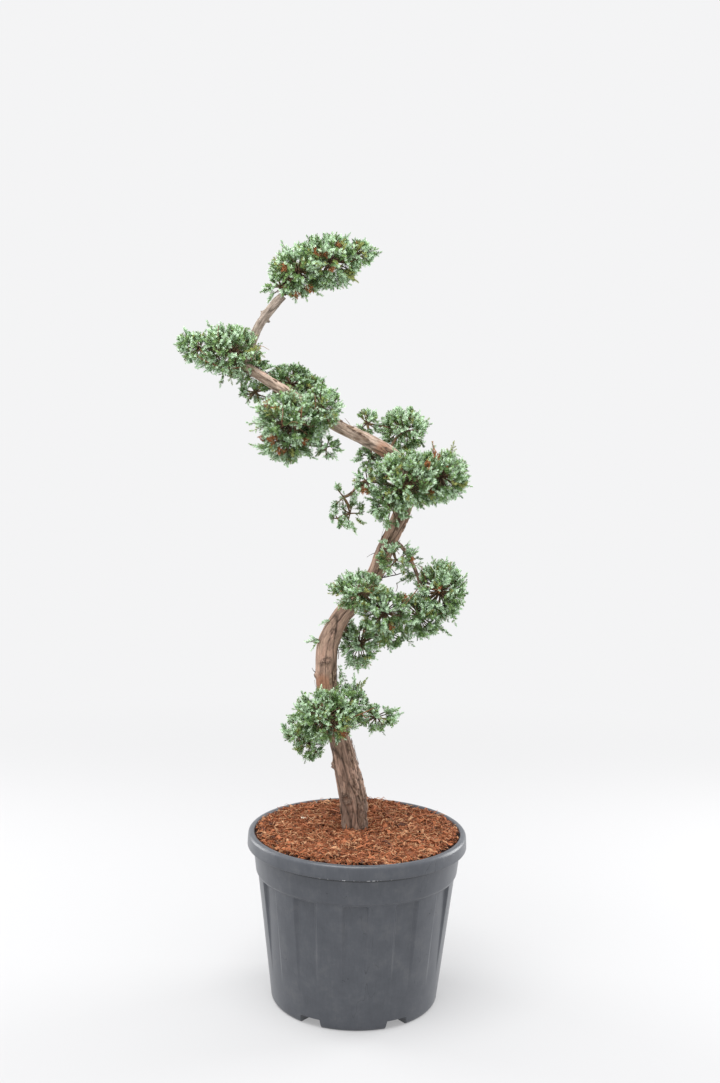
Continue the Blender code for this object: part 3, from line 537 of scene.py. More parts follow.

# %% Bark relief
# Knots and scars: stem, centre in metres, then ring radius, width and height in mm, and darkness of the painted shade
# in the ring
KNOTS = [("trunk", (-0.0238, -0.0214, 0.4524), 9.0, 4.5, 3.2, 0.35),
         ("trunk", (-0.0300, -0.0200, 0.4640), 4.0, 3.5, 2.6, 0.3),
         ("trunk", (-0.0555, 0.0000, 0.5221), 0.0, 8.5, 5.5, 0.1),
         ("trunk", (-0.0970, 0.0100, 0.7195), 0.0, 5.0, 5.0, 0.3),
         ("trunk", (-0.0731, -0.0075, 0.7572), 6.0, 4.0, 2.6, 0.5),
         ("trunk", (-0.0840, -0.0040, 0.7490), 3.0, 3.0, 2.0, 0.4),
         ("trunk", (-0.0613, -0.0065, 0.8208), 5.0, 3.0, 1.6, 0.5),
         ("top_leader", (-0.2215, -0.0050, 1.4967), 0.0, 4.0, 4.0, 0.2),
         ("top_leader", (-0.2120, -0.0050, 1.4804), 0.0, 3.5, 6.0, 0.3)]


def strip_bark(x, y, s, width, cracked):
    """Height of the bark in mm, its share of painted furrow shade and the plate's own number, from places in mm."""
    drift = noise.noise(Vector((x / 26.0, y / 26.0, s / 80.0)))
    drift_2 = noise.noise(Vector((x / 19.0 + 9.0, y / 19.0, s / 60.0)))
    spot = Vector((x + 3.0 * drift, y + 3.0 * drift_2, s * 0.075)) / width
    near, cells = noise.voronoi(spot)
    furrow = max(0.0, 1.0 - (near[1] - near[0]) / 0.075)
    own = noise.cell(cells[0] * 7.31) % 1.0
    lift = (spot.z - cells[0].z) * 0.5
    small = Vector((x + 1.5 * drift_2, y + 1.5 * drift, s * (0.26 + 0.16 * cracked))) / (width * 0.30)
    near_small, cells_small = noise.voronoi(small)
    flake = noise.cell(cells_small[0] * 5.17) % 1.0
    crack = max(0.0, 1.0 - (near_small[1] - near_small[0]) / 0.20)
    ribs = noise.noise(Vector((x / 3.2, y / 3.2, s / 60.0)))
    fibre = noise.noise(Vector((x / 1.4, y / 1.4, s / 22.0)))
    lump = noise.noise(Vector((x / 12.0, y / 12.0, s / 26.0)))
    height = (1.2 * own + lift - 1.7 * furrow - (0.25 + 1.3 * cracked) * crack
              + (0.5 + 1.8 * cracked) * (flake - 0.5) + 0.6 * ribs + 0.4 * fibre + 1.1 * lump)
    return height, min(1.0, 0.75 * furrow + (0.22 + 0.6 * cracked) * crack), 0.55 * own + 0.45 * flake


def bark_arrays(name, spacing, width, depth):
    """Points of one stem's bark, with the painted furrow shade and plate values and the grain's place of each."""
    path, run = even_path(STEMS[name], spacing)
    if name == "trunk":
        keep = path[:, 2] > GROUND
        path, run = path[keep], run[keep]
    around = max(10, int(math.tau * path[:, 3].max() / spacing))
    along, across, above = carried_frames(path[:, :3])
    knots = [k for k in KNOTS if k[0] == name]
    points = np.zeros((len(path), around, 3))
    furrows, owns = np.zeros((len(path), around)), np.zeros((len(path), around))
    places = np.zeros((len(path), around, 3))
    for i, (spot, s) in enumerate(zip(path, run)):
        radius = spot[3] * 1000.0
        for j in range(around):
            angle = math.tau * j / around
            x, y = radius * math.cos(angle), radius * math.sin(angle)
            way = across[i] * math.cos(angle) + above[i] * math.sin(angle)
            # The right side of the lower trunk has broken into small ridges
            cracked = float(smoothstep(0.0, 0.6, way[0])) * float(smoothstep(0.62, 0.50, spot[2]))
            cracked = max(cracked, 0.35 * noise.noise(Vector((x / 30.0, y / 30.0, s / 90.0 + 4.0))))
            height, furrow, owns[i, j] = strip_bark(x, y, s * 1000.0, width, max(0.0, cracked))
            surface = spot[:3] + way * (radius / 1000.0)
            for stem, centre, ring, wide, tall, dark in knots:
                off = abs(np.linalg.norm(surface - centre) * 1000.0 - ring) / wide
                if off < 3.0:
                    bulge = math.exp(-off * off)
                    rough = 1.0 + 1.1 * noise.noise(Vector(surface) * 420.0)
                    rough += 0.6 * noise.noise(Vector(surface) * 900.0)
                    height += tall * bulge * rough / depth
                    # Painted shade darkens each knot's ring, more where its bump is lower
                    furrow = min(1.0, furrow + dark * bulge * (0.6 + 0.6 * (rough < 1.0)))
            furrows[i, j] = furrow
            places[i, j] = (x / 1000.0, y / 1000.0, s)
            points[i, j] = surface + way * (depth * height / 1000.0)
    return points, furrows, owns, places


# %% [markdown]
# ## The bark's finish
#
# Old juniper bark is grey where it has weathered and pinkish brown where a strip has just peeled. Its
# furrows, cracks and knot rings are painted nearly black as shade, over the relief's real depth. The
# relief keeps its furrow share and each strip's number as attributes of the mesh, so the colours and
# the painted shade follow the real strips. Dry bark hardly shines: roughness 0.85.

# %% Peeling juniper bark


def bark_finish(name, plate_shades, furrow_painted_shade):
    """Bark of one age: the shades of its plates from old to fresh, and the painted shade colour of its furrows."""
    finish, tree, shader = new_finish(name, 0.85)
    place = add(tree, "ShaderNodeTexCoord").outputs["Object"]
    strip = add(tree, "ShaderNodeAttribute", attribute_name="strip").outputs["Fac"]
    furrow = add(tree, "ShaderNodeAttribute", attribute_name="furrow").outputs["Fac"]
    grain_place = add(tree, "ShaderNodeAttribute", attribute_name="grain_place").outputs["Vector"]
    # Weathering in patches about 30 mm wide and twice as long
    patchy = add(tree, "ShaderNodeMapping", {"Vector": grain_place, "Scale": (1.0, 1.0, 0.4)})
    weather = add(tree, "ShaderNodeTexNoise", {"Vector": patchy.outputs[0], "Scale": 34.0, "Detail": 5.0,
                                               "Roughness": 0.6})
    mixed = add(tree, "ShaderNodeMath", {0: strip, 1: weather.outputs["Fac"]}, operation="ADD")
    half = add(tree, "ShaderNodeMath", {0: mixed.outputs[0], 1: 0.5}, operation="MULTIPLY")
    plates = shade_ramp(tree, half.outputs[0], *zip((0.26, 0.38, 0.50, 0.62, 0.74), plate_shades))
    # Fibres about 1.5 mm wide and 30 mm long, and wider streaks of 5 mm between them
    shown = plates
    for scale, low, high in ((620.0, 0.70, 1.30), (190.0, 0.80, 1.18)):
        drawn = add(tree, "ShaderNodeMapping", {"Vector": grain_place, "Scale": (1.0, 1.0, 0.05)})
        streaks = add(tree, "ShaderNodeTexNoise", {"Vector": drawn.outputs[0], "Scale": scale, "Detail": 3.0,
                                                   "Roughness": 0.6})
        shade = add(tree, "ShaderNodeMapRange", {0: streaks.outputs["Fac"], 1: 0.3, 2: 0.7, 3: low, 4: high})
        shown = add(tree, "ShaderNodeVectorMath", {0: shown, 3: shade.outputs[0]}, operation="SCALE").outputs[0]
    # Two places where a strip has just come off, about 40 mm across
    for peel_place in ((-0.082, -0.006, 0.706), (0.036, -0.008, 1.212)):
        away = add(tree, "ShaderNodeVectorMath", {0: place, 1: peel_place}, operation="DISTANCE")
        near = add(tree, "ShaderNodeMapRange", {0: away.outputs["Value"], 1: 0.024, 2: 0.012, 3: 0.0, 4: 0.6})
        fresh = add(tree, "ShaderNodeMix", {0: near.outputs[0], 6: shown, 7: linear("A0694A")},
                    data_type="RGBA")
        shown = fresh.outputs[2]
    # The foot of the trunk is darker, damp from the mix
    height_z = add(tree, "ShaderNodeSeparateXYZ", {0: place}).outputs["Z"]
    damp = add(tree, "ShaderNodeMapRange", {0: height_z, 1: 0.39, 2: 0.47, 3: 0.72, 4: 1.0})
    damped = add(tree, "ShaderNodeVectorMath", {0: shown, 3: damp.outputs[0]}, operation="SCALE")
    # Painted shade: furrows, cracks and knot rings are darkened towards the furrow colour
    sunk = add(tree, "ShaderNodeMix", {0: furrow, 6: damped.outputs[0], 7: linear(furrow_painted_shade)},
               data_type="RGBA")
    tree.links.new(sunk.outputs[2], shader.inputs["Base Color"])
    # Fine fibres stand out by half a millimetre
    raised = add(tree, "ShaderNodeBump", {"Strength": 0.6, "Distance": 0.0010, "Height": streaks.outputs["Fac"]})
    tree.links.new(raised.outputs[0], shader.inputs["Normal"])
    return finish


# The last colour of each is the painted shade in its furrows
old_bark = bark_finish("peeling_juniper_bark", ("66503F", "82695A", "9F8472", "B2917F", "8C6850"), "382A20")
pale_bark = bark_finish("sun_bleached_bark", ("83705F", "A48E7E", "BDA898", "C9AD9C", "A2816C"), "42342A")
grey_bark = bark_finish("smooth_grey_bark", ("6E6157", "86786C", "9E9084", "A8988A", "846C5C"), "3A2E26")

# %% The bark's pieces
BARK_GRAIN = {"trunk": (0.00155, 20.0, 1.0, old_bark), "middle_limb": (0.0014, 13.0, 0.8, pale_bark),
              "top_leader": (0.0013, 9.0, 0.7, grey_bark), "fork_bough": (0.0012, 4.0, 0.25, old_bark),
              "hanging_bough": (0.0011, 4.0, 0.2, old_bark)}
for name, (spacing, width, depth, bark) in BARK_GRAIN.items():
    points, furrows, owns, places = bark_arrays(name, spacing, width, depth)
    rows_made, around = furrows.shape
    caps = points[[0, -1]].mean(1)
    low_cap = [[rows_made * around, (j + 1) % around, j] for j in range(around)]
    top = (rows_made - 1) * around
    high_cap = [[rows_made * around + 1, top + j, top + (j + 1) % around] for j in range(around)]
    quads = grid_faces(rows_made, around)
    triangles = np.concatenate([quads[:, [0, 1, 2]], quads[:, [0, 2, 3]], low_cap, high_cap])
    item = mesh_piece("bark_" + name, np.concatenate([points.reshape(-1, 3), caps]), triangles,
                      bark, [name])
    for label, values in (("furrow", furrows), ("strip", owns)):
        layer = item.data.attributes.new(label, "FLOAT", "POINT")
        layer.data.foreach_set("value", np.concatenate([values.ravel(), [1.0, 1.0]]).astype(np.float32))
    layer = item.data.attributes.new("grain_place", "FLOAT_VECTOR", "POINT")
    layer.data.foreach_set("vector", np.concatenate([places.ravel(), np.zeros(6)]).astype(np.float32))

# %% Loose flakes of bark
# Dead strips that hang on by their upper ends, most on the trunk's right side
FLAKES = {"trunk": 150, "middle_limb": 40}
flake_rng = np.random.default_rng(5)
flakes = []
for name, count in FLAKES.items():
    path, run = even_path(STEMS[name], 0.004)
    path = path[path[:, 2] > GROUND + 0.03]
    along, across, above = carried_frames(path[:, :3])
    step = flake_rng.integers(2, len(path) - 2, count)
    angle = flake_rng.uniform(0, math.tau, count)
    way = across[step] * np.cos(angle)[:, None] + above[step] * np.sin(angle)[:, None]
    way = np.where((way[:, :1] < 0) & (flake_rng.random((count, 1)) < 0.55), -way, way)
    length = flake_rng.uniform(0.010, 0.030, count)
    spot = path[step, :3] + way * (path[step, 3] + 0.0018)[:, None]
    forward = along[step] + flake_rng.normal(0, 0.12, (count, 3)) + way * flake_rng.uniform(-0.12, 0.22, (count, 1))
    plain = frames_from(forward, np.zeros(count))
    roll = np.arctan2(-(way * plain[1]).sum(1), (way * plain[2]).sum(1))
    points, faces = flake_mesh(spot, forward, roll, length, length * flake_rng.uniform(0.12, 0.28, count),
                               np.full(count, 0.0006), length * flake_rng.uniform(-0.03, 0.10, count))
    flakes.append(points)
loose_bark, tree, shader = new_finish("dry_bark_flake", 0.9)
place = add(tree, "ShaderNodeTexCoord").outputs["Object"]
# Grey and brown in patches about 15 mm across
patches = add(tree, "ShaderNodeTexNoise", {"Vector": place, "Scale": 70.0, "Detail": 4.0})
tree.links.new(shade_ramp(tree, patches.outputs["Fac"], (0.36, "4A382C"), (0.5, "76604F"), (0.64, "A08874")),
               shader.inputs["Base Color"])
points, faces = joined(np.concatenate(flakes), faces)
mesh_piece("bark_flakes", points, faces, loose_bark, ["trunk", "middle_limb"], smooth=False)

# %% [markdown]
# ## The foliage's rule
#
# The crown grows by the same rule as the solids: each pad has a stem from its limb to the middle of
# its first lobe, branches on to its other lobes, and twigs that leave each middle by the golden angle.
# Here the rule goes further. Each twig carries branchlets, each branchlet carries short shoots, and
# each shoot carries whorls of three needles. Whatever would leave the pad's own space or touch a
# stem is left out.

# %% Pads and their lobes
PADS = {
    "foliage_top": ((-0.178, -0.006, 1.534), [
        (-0.150, 0.000, 1.585, 0.056, 0.060, 0.050, 8), (-0.084, 0.000, 1.607, 0.066, 0.068, 0.054, 12),
        (-0.030, 0.000, 1.622, 0.040, 0.042, 0.030, 6), (-0.186, 0.000, 1.552, 0.030, 0.036, 0.024, 4)]),
    "foliage_left": ((-0.262, 0.003, 1.387), [
        (-0.290, -0.008, 1.416, 0.066, 0.068, 0.052, 10), (-0.354, 0.000, 1.420, 0.048, 0.048, 0.032, 7),
        (-0.253, 0.032, 1.382, 0.040, 0.042, 0.032, 6), (-0.384, 0.000, 1.436, 0.018, 0.020, 0.018, -3)]),
    "foliage_upper_back": ((-0.150, 0.000, 1.320), [
        (-0.166, 0.066, 1.350, 0.054, 0.052, 0.040, 10), (-0.122, 0.070, 1.336, 0.034, 0.044, 0.034, 6),
        (-0.240, 0.046, 1.330, 0.034, 0.036, 0.028, 6)]),
    "foliage_mid_front": ((-0.118, -0.003, 1.300), [
        (-0.154, -0.068, 1.274, 0.078, 0.056, 0.056, 13), (-0.092, -0.062, 1.300, 0.040, 0.044, 0.044, 6),
        (-0.166, -0.046, 1.228, 0.060, 0.050, 0.041, 8), (-0.082, -0.040, 1.218, 0.028, 0.030, 0.024, -3)]),
    "foliage_mid_back": ((0.052, 0.006, 1.206), [
        (0.083, 0.068, 1.254, 0.052, 0.052, 0.048, 13), (0.003, 0.056, 1.268, 0.024, 0.032, 0.030, 4),
        (0.013, 0.038, 1.196, 0.030, 0.030, 0.026, 4)]),
    "foliage_bend": ((0.094, 0.004, 1.126), [
        (0.090, -0.062, 1.154, 0.076, 0.056, 0.060, 10), (0.162, -0.018, 1.161, 0.056, 0.064, 0.056, 10),
        (0.054, -0.052, 1.098, 0.038, 0.038, 0.044, 6), (0.006, -0.040, 1.148, 0.030, 0.034, 0.028, 4),
        (0.128, 0.062, 1.146, 0.062, 0.048, 0.054, 8)]),
    "foliage_hanging": ((-0.026, 0.000, 1.121), [
        (-0.044, 0.000, 1.110, 0.030, 0.030, 0.028, -6), (-0.030, 0.000, 1.076, 0.030, 0.030, 0.032, -7),
        (-0.056, 0.000, 1.064, 0.022, 0.022, 0.020, -4)]),
    "foliage_fork_front": ((0.008, 0.005, 0.922), [
        (-0.008, -0.074, 0.918, 0.058, 0.044, 0.040, 8), (0.048, -0.060, 0.874, 0.058, 0.048, 0.048, 10)]),
    "foliage_fork_right": ((0.123, -0.022, 0.927), [
        (0.166, -0.022, 0.915, 0.056, 0.060, 0.062, 11), (0.123, -0.020, 0.860, 0.052, 0.056, 0.048, 8)]),
    "foliage_fork_low": ((-0.050, 0.013, 0.842), [
        (-0.003, 0.040, 0.786, 0.044, 0.040, 0.056, 8), (0.058, 0.004, 0.820, 0.036, 0.044, 0.036, 6)]),
    "foliage_fork_twigs": ((0.052, -0.002, 1.012), [
        (0.070, -0.040, 0.982, 0.038, 0.028, 0.034, -7)]),
    "foliage_low": ((-0.050, 0.006, 0.610), [
        (-0.074, -0.066, 0.646, 0.068, 0.054, 0.056, 9), (-0.128, -0.022, 0.604, 0.038, 0.048, 0.034, 6),
        (-0.104, -0.034, 0.574, 0.030, 0.034, 0.030, 4), (-0.018, -0.022, 0.662, 0.034, 0.044, 0.042, 6),
        (0.036, -0.012, 0.634, 0.046, 0.034, 0.026, 6), (-0.078, 0.066, 0.612, 0.058, 0.044, 0.046, 6)]),
}
GOLDEN_ANGLE = math.pi * (3.0 - math.sqrt(5.0))
SPACE_SLACK, SPACE_MARGIN = 1.14, 0.0
lobe_sizes = {name: np.array([lobe[:6] for lobe in lobes]) for name, (root, lobes) in PADS.items()}


def reach_in_pad(name, points):
    """How far points lie out in a pad: 1 is a lobe's face."""
    sizes = lobe_sizes[name]
    away = (points[:, None] - sizes[None, :, :3]) / sizes[None, :, 3:6]
    return np.linalg.norm(away, axis=2).min(1)


def in_own_space(name, points):
    own = reach_in_pad(name, points)
    fits = own < SPACE_SLACK
    for other in PADS:
        if other != name:
            fits &= reach_in_pad(other, points) > own + SPACE_MARGIN
    return fits


def clear_of_stems(points, clearance):
    """True for points outside every stem by the clearance."""
    free = np.ones(len(points), bool)
    for path in stem_paths.values():
        start, end = path[:-1], path[1:]
        along = end[:, :3] - start[:, :3]
        share = ((points[:, None] - start[None, :, :3]) * along).sum(2) / (along ** 2).sum(1)
        share = share.clip(0.0, 1.0)
        nearest = start[None, :, :3] + along * share[..., None]
        radius = start[:, 3] + (end[:, 3] - start[:, 3]) * share
        free &= (np.linalg.norm(points[:, None] - nearest, axis=2) > radius + clearance).all(1)
    return free


print("pads:", len(PADS), "lobes:", sum(len(lobes) for root, lobes in PADS.values()))

# %% [markdown]
# ## Twigs and fronds
#
# A frond is a thin branchlet with short shoots on both sides, like a feather. Each twig carries
# several, and each grows until it meets the pad's own edge, which swells and dips from place to place
# so that the outline is ragged and lets the sky through. Fronds on top curve up to the light and
# those below hang. All fronds of a lobe are grown at once as arrays, which is far quicker than one
# object each.

# %% Growing a lobe
TWIG_AREA, FRONDS_PER_TWIG = 0.00092, 6
FROND_KNOTS = 5
rng = np.random.default_rng(2024)


def golden_directions(count, start):
    number = np.arange(count)
    z = 1.0 - 2.0 * (number + 0.5) / count
    ring = np.sqrt(1.0 - z * z)
    angle = start + number * GOLDEN_ANGLE
    return np.stack([ring * np.cos(angle), ring * np.sin(angle), z], 1)


def unit(vectors):
    return vectors / (np.linalg.norm(vectors, axis=-1, keepdims=True) + 1e-12)


def sideways(forward, angle):
    """Unit vectors square to each forward direction, at an angle round it."""
    return frames_from(forward, angle)[1]


def ragged_edge(places):
    """How far out a pad reaches at each place: 1 is a lobe's face, with swells of 50 and 18 mm."""
    swell = [noise.noise(Vector(p) * 20.0) + 0.6 * noise.noise(Vector(p) * 55.0) for p in places]
    return (1.0 + 0.28 * np.array(swell)).clip(0.72, 1.12)


def room_along(starts, ways, centre, size, limit):
    """Distance from each start along its way to the lobe's edge."""
    from_centre, step = (starts - centre) / size, ways / size
    a, b = (step ** 2).sum(1), 2.0 * (from_centre * step).sum(1)
    c = (from_centre ** 2).sum(1) - limit ** 2
    return (-b + np.sqrt(np.maximum(b * b - 4.0 * a * c, 0.0))) / (2.0 * a)


def grow_lobe(lobe):
    """Twig ends of a lobe, and the start, way and length of its fronds."""
    centre, size = np.array(lobe[:3]), np.array(lobe[3:6])
    area = 4.0 * math.pi * (size.prod() ** (2.0 / 3.0))
    count = max(5, int(area / TWIG_AREA * (0.45 if lobe[6] < 0 else 1.0)))
    ways = unit(golden_directions(count, rng.uniform(0, math.tau)) + rng.normal(0, 0.13, (count, 3)))
    ends = centre + ways * size * rng.uniform(0.56, 0.86, (count, 1))
    own = np.repeat(np.arange(count), FRONDS_PER_TWIG)
    share = rng.uniform(0.70, 1.0, len(own))
    starts = centre + (ends[own] - centre) * share[:, None]
    # Each twig leans its own way, so that its fronds make one spray and leave a gap to the next
    lean = sideways(ways, rng.uniform(0, math.tau, count)) * rng.uniform(0.0, 0.7, (count, 1))
    outward = unit(ways + lean)[own]
    aside = sideways(outward, rng.uniform(0, math.tau, len(own)))
    lift = np.where(outward[:, 2:3] > -0.3, 0.32, -0.12) * np.array([0.0, 0.0, 1.0])
    way = unit(outward * 0.8 + aside * rng.uniform(0.2, 1.0, (len(own), 1)) + lift)
    edge = ragged_edge(centre + way * size)
    room = room_along(starts, way, centre, size, edge)
    length = np.minimum(rng.uniform(0.016, 0.034, len(own)), room)
    fits = length > 0.006
    return ends, starts[fits], way[fits], length[fits]


def frond_paths(starts, way, length):
    """Curved paths of the fronds: up to the light on top, down below."""
    steps = np.linspace(0.0, 1.0, FROND_KNOTS)[None, :, None]
    bow = sideways(way, rng.uniform(0, math.tau, len(way))) * rng.uniform(0.0, 0.14, (len(way), 1))
    rise = np.where(way[:, 2:3] > -0.25, 0.14, -0.12) * np.array([0.0, 0.0, 1.0])
    return (starts[:, None] + way[:, None] * length[:, None, None] * steps
            + bow[:, None] * length[:, None, None] * np.sin(steps * math.pi)
            + rise[:, None] * length[:, None, None] * steps ** 2)


twigs, pad_fronds = [], {}
for name, (root, lobes) in PADS.items():
    centres = [np.array(lobe[:3]) for lobe in lobes]
    twigs.append((np.array(root), centres[0], 0.0040, 0.0028))
    made = []
    for index, lobe in enumerate(lobes):
        if index:
            parent = min(centres[:index], key=lambda spot: np.linalg.norm(spot - centres[index]))
            twigs.append((parent, centres[index], 0.0028, 0.0022))
        ends, starts, way, length = grow_lobe(lobe)
        twigs += [(centres[index], end, 0.0018, 0.0010) for end in ends]
        made.append(frond_paths(starts, way, length))
    paths = np.concatenate(made)
    fits = in_own_space(name, paths[:, -1]) & clear_of_stems(paths[:, -1], 0.002)
    pad_fronds[name] = paths[fits & clear_of_stems(paths[:, 2], 0.001)]
print("twigs:", len(twigs), "fronds:", sum(len(p) for p in pad_fronds.values()))

# %% [markdown]
# ## Leading sprays
#
# Some sprays run ahead of the rest, and they give each pad its outline: long tips at its ends, short
# spires on top and hanging ones below. The tips that show from the front have their own places here.
# More of them, by chance, break up the outline from the other sides.

# %% Tips of the leading sprays
LEADERS = {
    "foliage_top": (0.00, [
        (-0.220, 1.543), (-0.182, 1.640), (-0.157, 1.639), (-0.129, 1.652), (-0.080, 1.663),
        (-0.063, 1.656), (-0.048, 1.657), (-0.032, 1.648), (-0.013, 1.649), (0.017, 1.626),
        (0.010, 1.632), (-0.001, 1.618), (-0.009, 1.603), (-0.025, 1.597), (-0.030, 1.568),
        (-0.045, 1.564), (-0.050, 1.556), (-0.068, 1.560), (-0.075, 1.556), (-0.106, 1.541),
        (-0.132, 1.530), (-0.154, 1.528), (-0.209, 1.526), (-0.206, 1.583), (-0.205, 1.597)]),
    "foliage_left": (-0.01, [
        (-0.388, 1.457), (-0.402, 1.424), (-0.396, 1.436), (-0.334, 1.469), (-0.307, 1.466),
        (-0.273, 1.457), (-0.252, 1.450), (-0.377, 1.395), (-0.362, 1.385), (-0.352, 1.381),
        (-0.340, 1.376), (-0.308, 1.348), (-0.286, 1.355), (-0.272, 1.353), (-0.265, 1.334),
        (-0.224, 1.412), (-0.206, 1.386)]),
    "foliage_upper_back": (0.06, [(-0.195, 1.380), (-0.151, 1.388), (-0.133, 1.371), (-0.121, 1.350)]),
    "foliage_mid_front": (-0.06, [
        (-0.234, 1.219), (-0.234, 1.251), (-0.240, 1.266), (-0.234, 1.297), (-0.215, 1.206),
        (-0.202, 1.205), (-0.178, 1.199), (-0.164, 1.182), (-0.150, 1.203), (-0.131, 1.211),
        (-0.109, 1.196), (-0.098, 1.206), (-0.079, 1.200), (-0.064, 1.197), (-0.054, 1.212),
        (-0.065, 1.229), (-0.066, 1.335), (-0.079, 1.335), (-0.053, 1.305)]),
    "foliage_mid_back": (0.05, [
        (-0.021, 1.189), (-0.006, 1.176), (0.012, 1.171), (0.023, 1.171), (0.018, 1.290),
        (0.078, 1.296), (0.112, 1.290), (0.132, 1.274), (-0.012, 1.282), (-0.006, 1.240)]),
    "foliage_bend": (-0.03, [
        (0.185, 1.226), (0.142, 1.225), (0.194, 1.187), (0.214, 1.161), (0.218, 1.143),
        (0.205, 1.120), (0.172, 1.120), (0.138, 1.098), (0.114, 1.096), (0.029, 1.075),
        (0.015, 1.085), (0.009, 1.111), (-0.009, 1.137), (-0.019, 1.161), (0.048, 1.056)]),
    "foliage_hanging": (0.00, [
        (-0.006, 1.097), (-0.003, 1.057), (-0.020, 1.038), (-0.049, 1.057), (-0.067, 1.089),
        (-0.059, 1.132)]),
    "foliage_fork_front": (-0.07, [
        (-0.070, 0.926), (-0.062, 0.916), (-0.029, 0.955), (-0.009, 0.956), (-0.044, 0.888),
        (0.105, 0.807), (0.097, 0.819), (0.065, 0.822), (0.061, 0.796)]),
    "foliage_fork_right": (-0.02, [
        (0.176, 0.984), (0.149, 0.982), (0.193, 0.966), (0.218, 0.950), (0.217, 0.910),
        (0.208, 0.892), (0.199, 0.850), (0.185, 0.826), (0.160, 0.832), (0.131, 0.827),
        (0.117, 0.825)]),
    "foliage_fork_twigs": (-0.03, [(0.108, 1.005), (0.087, 0.956), (0.048, 1.013), (0.038, 0.976)]),
    "foliage_fork_low": (0.02, [
        (-0.030, 0.735), (-0.006, 0.740), (0.024, 0.758), (0.028, 0.787), (-0.026, 0.763)]),
    "foliage_low": (-0.03, [
        (-0.163, 0.606), (-0.146, 0.646), (-0.121, 0.695), (-0.083, 0.709), (-0.044, 0.714),
        (-0.014, 0.719), (0.010, 0.713), (0.087, 0.640), (0.080, 0.650), (0.072, 0.628),
        (0.049, 0.602), (0.025, 0.603), (-0.009, 0.596), (-0.046, 0.584), (-0.065, 0.559),
        (-0.114, 0.547), (-0.099, 0.549), (-0.136, 0.567), (-0.158, 0.588)]),
}
# Small sprays that spring straight from a limb: where each starts and ends
SPRIGS = [((-0.092, 0.010, 0.797), (-0.116, 0.004, 0.794)), ((-0.092, 0.008, 0.798), (-0.108, 0.000, 0.806)),
          ((-0.091, 0.008, 0.795), (-0.104, 0.000, 0.783)), ((-0.068, 0.008, 0.842), (-0.084, 0.002, 0.836)),
          ((-0.050, 0.006, 0.742), (-0.038, -0.006, 0.718)), ((-0.046, 0.000, 0.730), (-0.026, -0.010, 0.694)),
          ((-0.046, 0.000, 0.730), (-0.040, -0.012, 0.690)), ((0.044, -0.018, 0.990), (0.032, -0.036, 0.988)),
          ((0.046, -0.018, 0.985), (0.060, -0.036, 0.972)), ((0.044, -0.018, 0.980), (0.048, -0.040, 0.964)),
          ((0.054, -0.019, 1.016), (0.038, -0.036, 1.020)), ((0.056, -0.019, 1.012), (0.068, -0.032, 1.016)),
          ((0.098, -0.022, 0.988), (0.113, -0.024, 1.000)), ((0.100, -0.022, 0.982), (0.118, -0.026, 0.984)),
          ((0.106, -0.022, 0.970), (0.122, -0.022, 0.972)), ((0.086, -0.018, 1.004), (0.087, -0.022, 0.958)),
          ((0.084, -0.018, 1.006), (0.094, -0.026, 1.016)),
          ((0.101, -0.020, 0.980), (0.099, -0.025, 0.950)), ((0.112, -0.022, 0.956), (0.090, -0.027, 0.945)),
          ((0.113, -0.022, 0.950), (0.094, -0.028, 0.935)), ((0.113, -0.022, 0.956), (0.102, -0.026, 0.940)),
          ((0.110, -0.022, 0.946), (0.084, -0.025, 0.936)), ((0.098, -0.020, 0.986), (0.086, -0.024, 0.972))]
RANDOM_LEADERS = 4
leaders = []
for name, (depth, tips) in LEADERS.items():
    sizes = lobe_sizes[name]
    for x, z in tips:
        gap = np.linalg.norm((np.array([x, z]) - sizes[:, [0, 2]]) / sizes[:, [3, 5]], axis=1)
        lobe = sizes[gap.argmin()]
        tip = np.array([x, lobe[1] + rng.uniform(-0.4, 0.4) * lobe[4], z])
        leaders.append((name, lobe[:3] + (tip - lobe[:3]) * 0.45, tip))
    for lobe in sizes:
        for number in range(RANDOM_LEADERS if name != "foliage_hanging" else 0):
            way = unit(rng.normal(0, 1, 3) * np.array([0.5, 1.0, 0.6]))
            tip = lobe[:3] + way * lobe[3:6] * rng.uniform(1.04, 1.16)
            if in_own_space(name, tip[None])[0]:
                leaders.append((name, lobe[:3] + (tip - lobe[:3]) * 0.5, tip))
sprigs_first = len(leaders)
leaders += [("foliage_low" if start[2] < 0.9 else "foliage_fork_twigs", np.array(start), np.array(tip))
            for start, tip in SPRIGS]
leader_paths = frond_paths(np.array([l[1] for l in leaders]),
                           unit(np.array([l[2] - l[1] for l in leaders])),
                           np.array([np.linalg.norm(l[2] - l[1]) for l in leaders]))
# The rise at the end is taken back so that each tip stands where it should
steps = np.linspace(0.0, 1.0, FROND_KNOTS)[None, :, None]
leader_paths += (np.array([l[2] for l in leaders]) - leader_paths[:, -1])[:, None] * steps
leader_pad = [l[0] for l in leaders]
print("leading sprays:", len(leaders))

# %% [markdown]
# ## Shoots
#
# Shoots stand on both sides of a frond, 4 mm apart, and one ends it. Those that would be buried deep
# in a pad can't be seen from any side, and are left out.

# %% Shoots along the fronds
SHOOTS_PER_FROND, HIDDEN_REACH = 8, 0.60
shoots = {"base": [], "way": [], "length": [], "reach": [], "frond": [], "end": []}
frond_count = 0


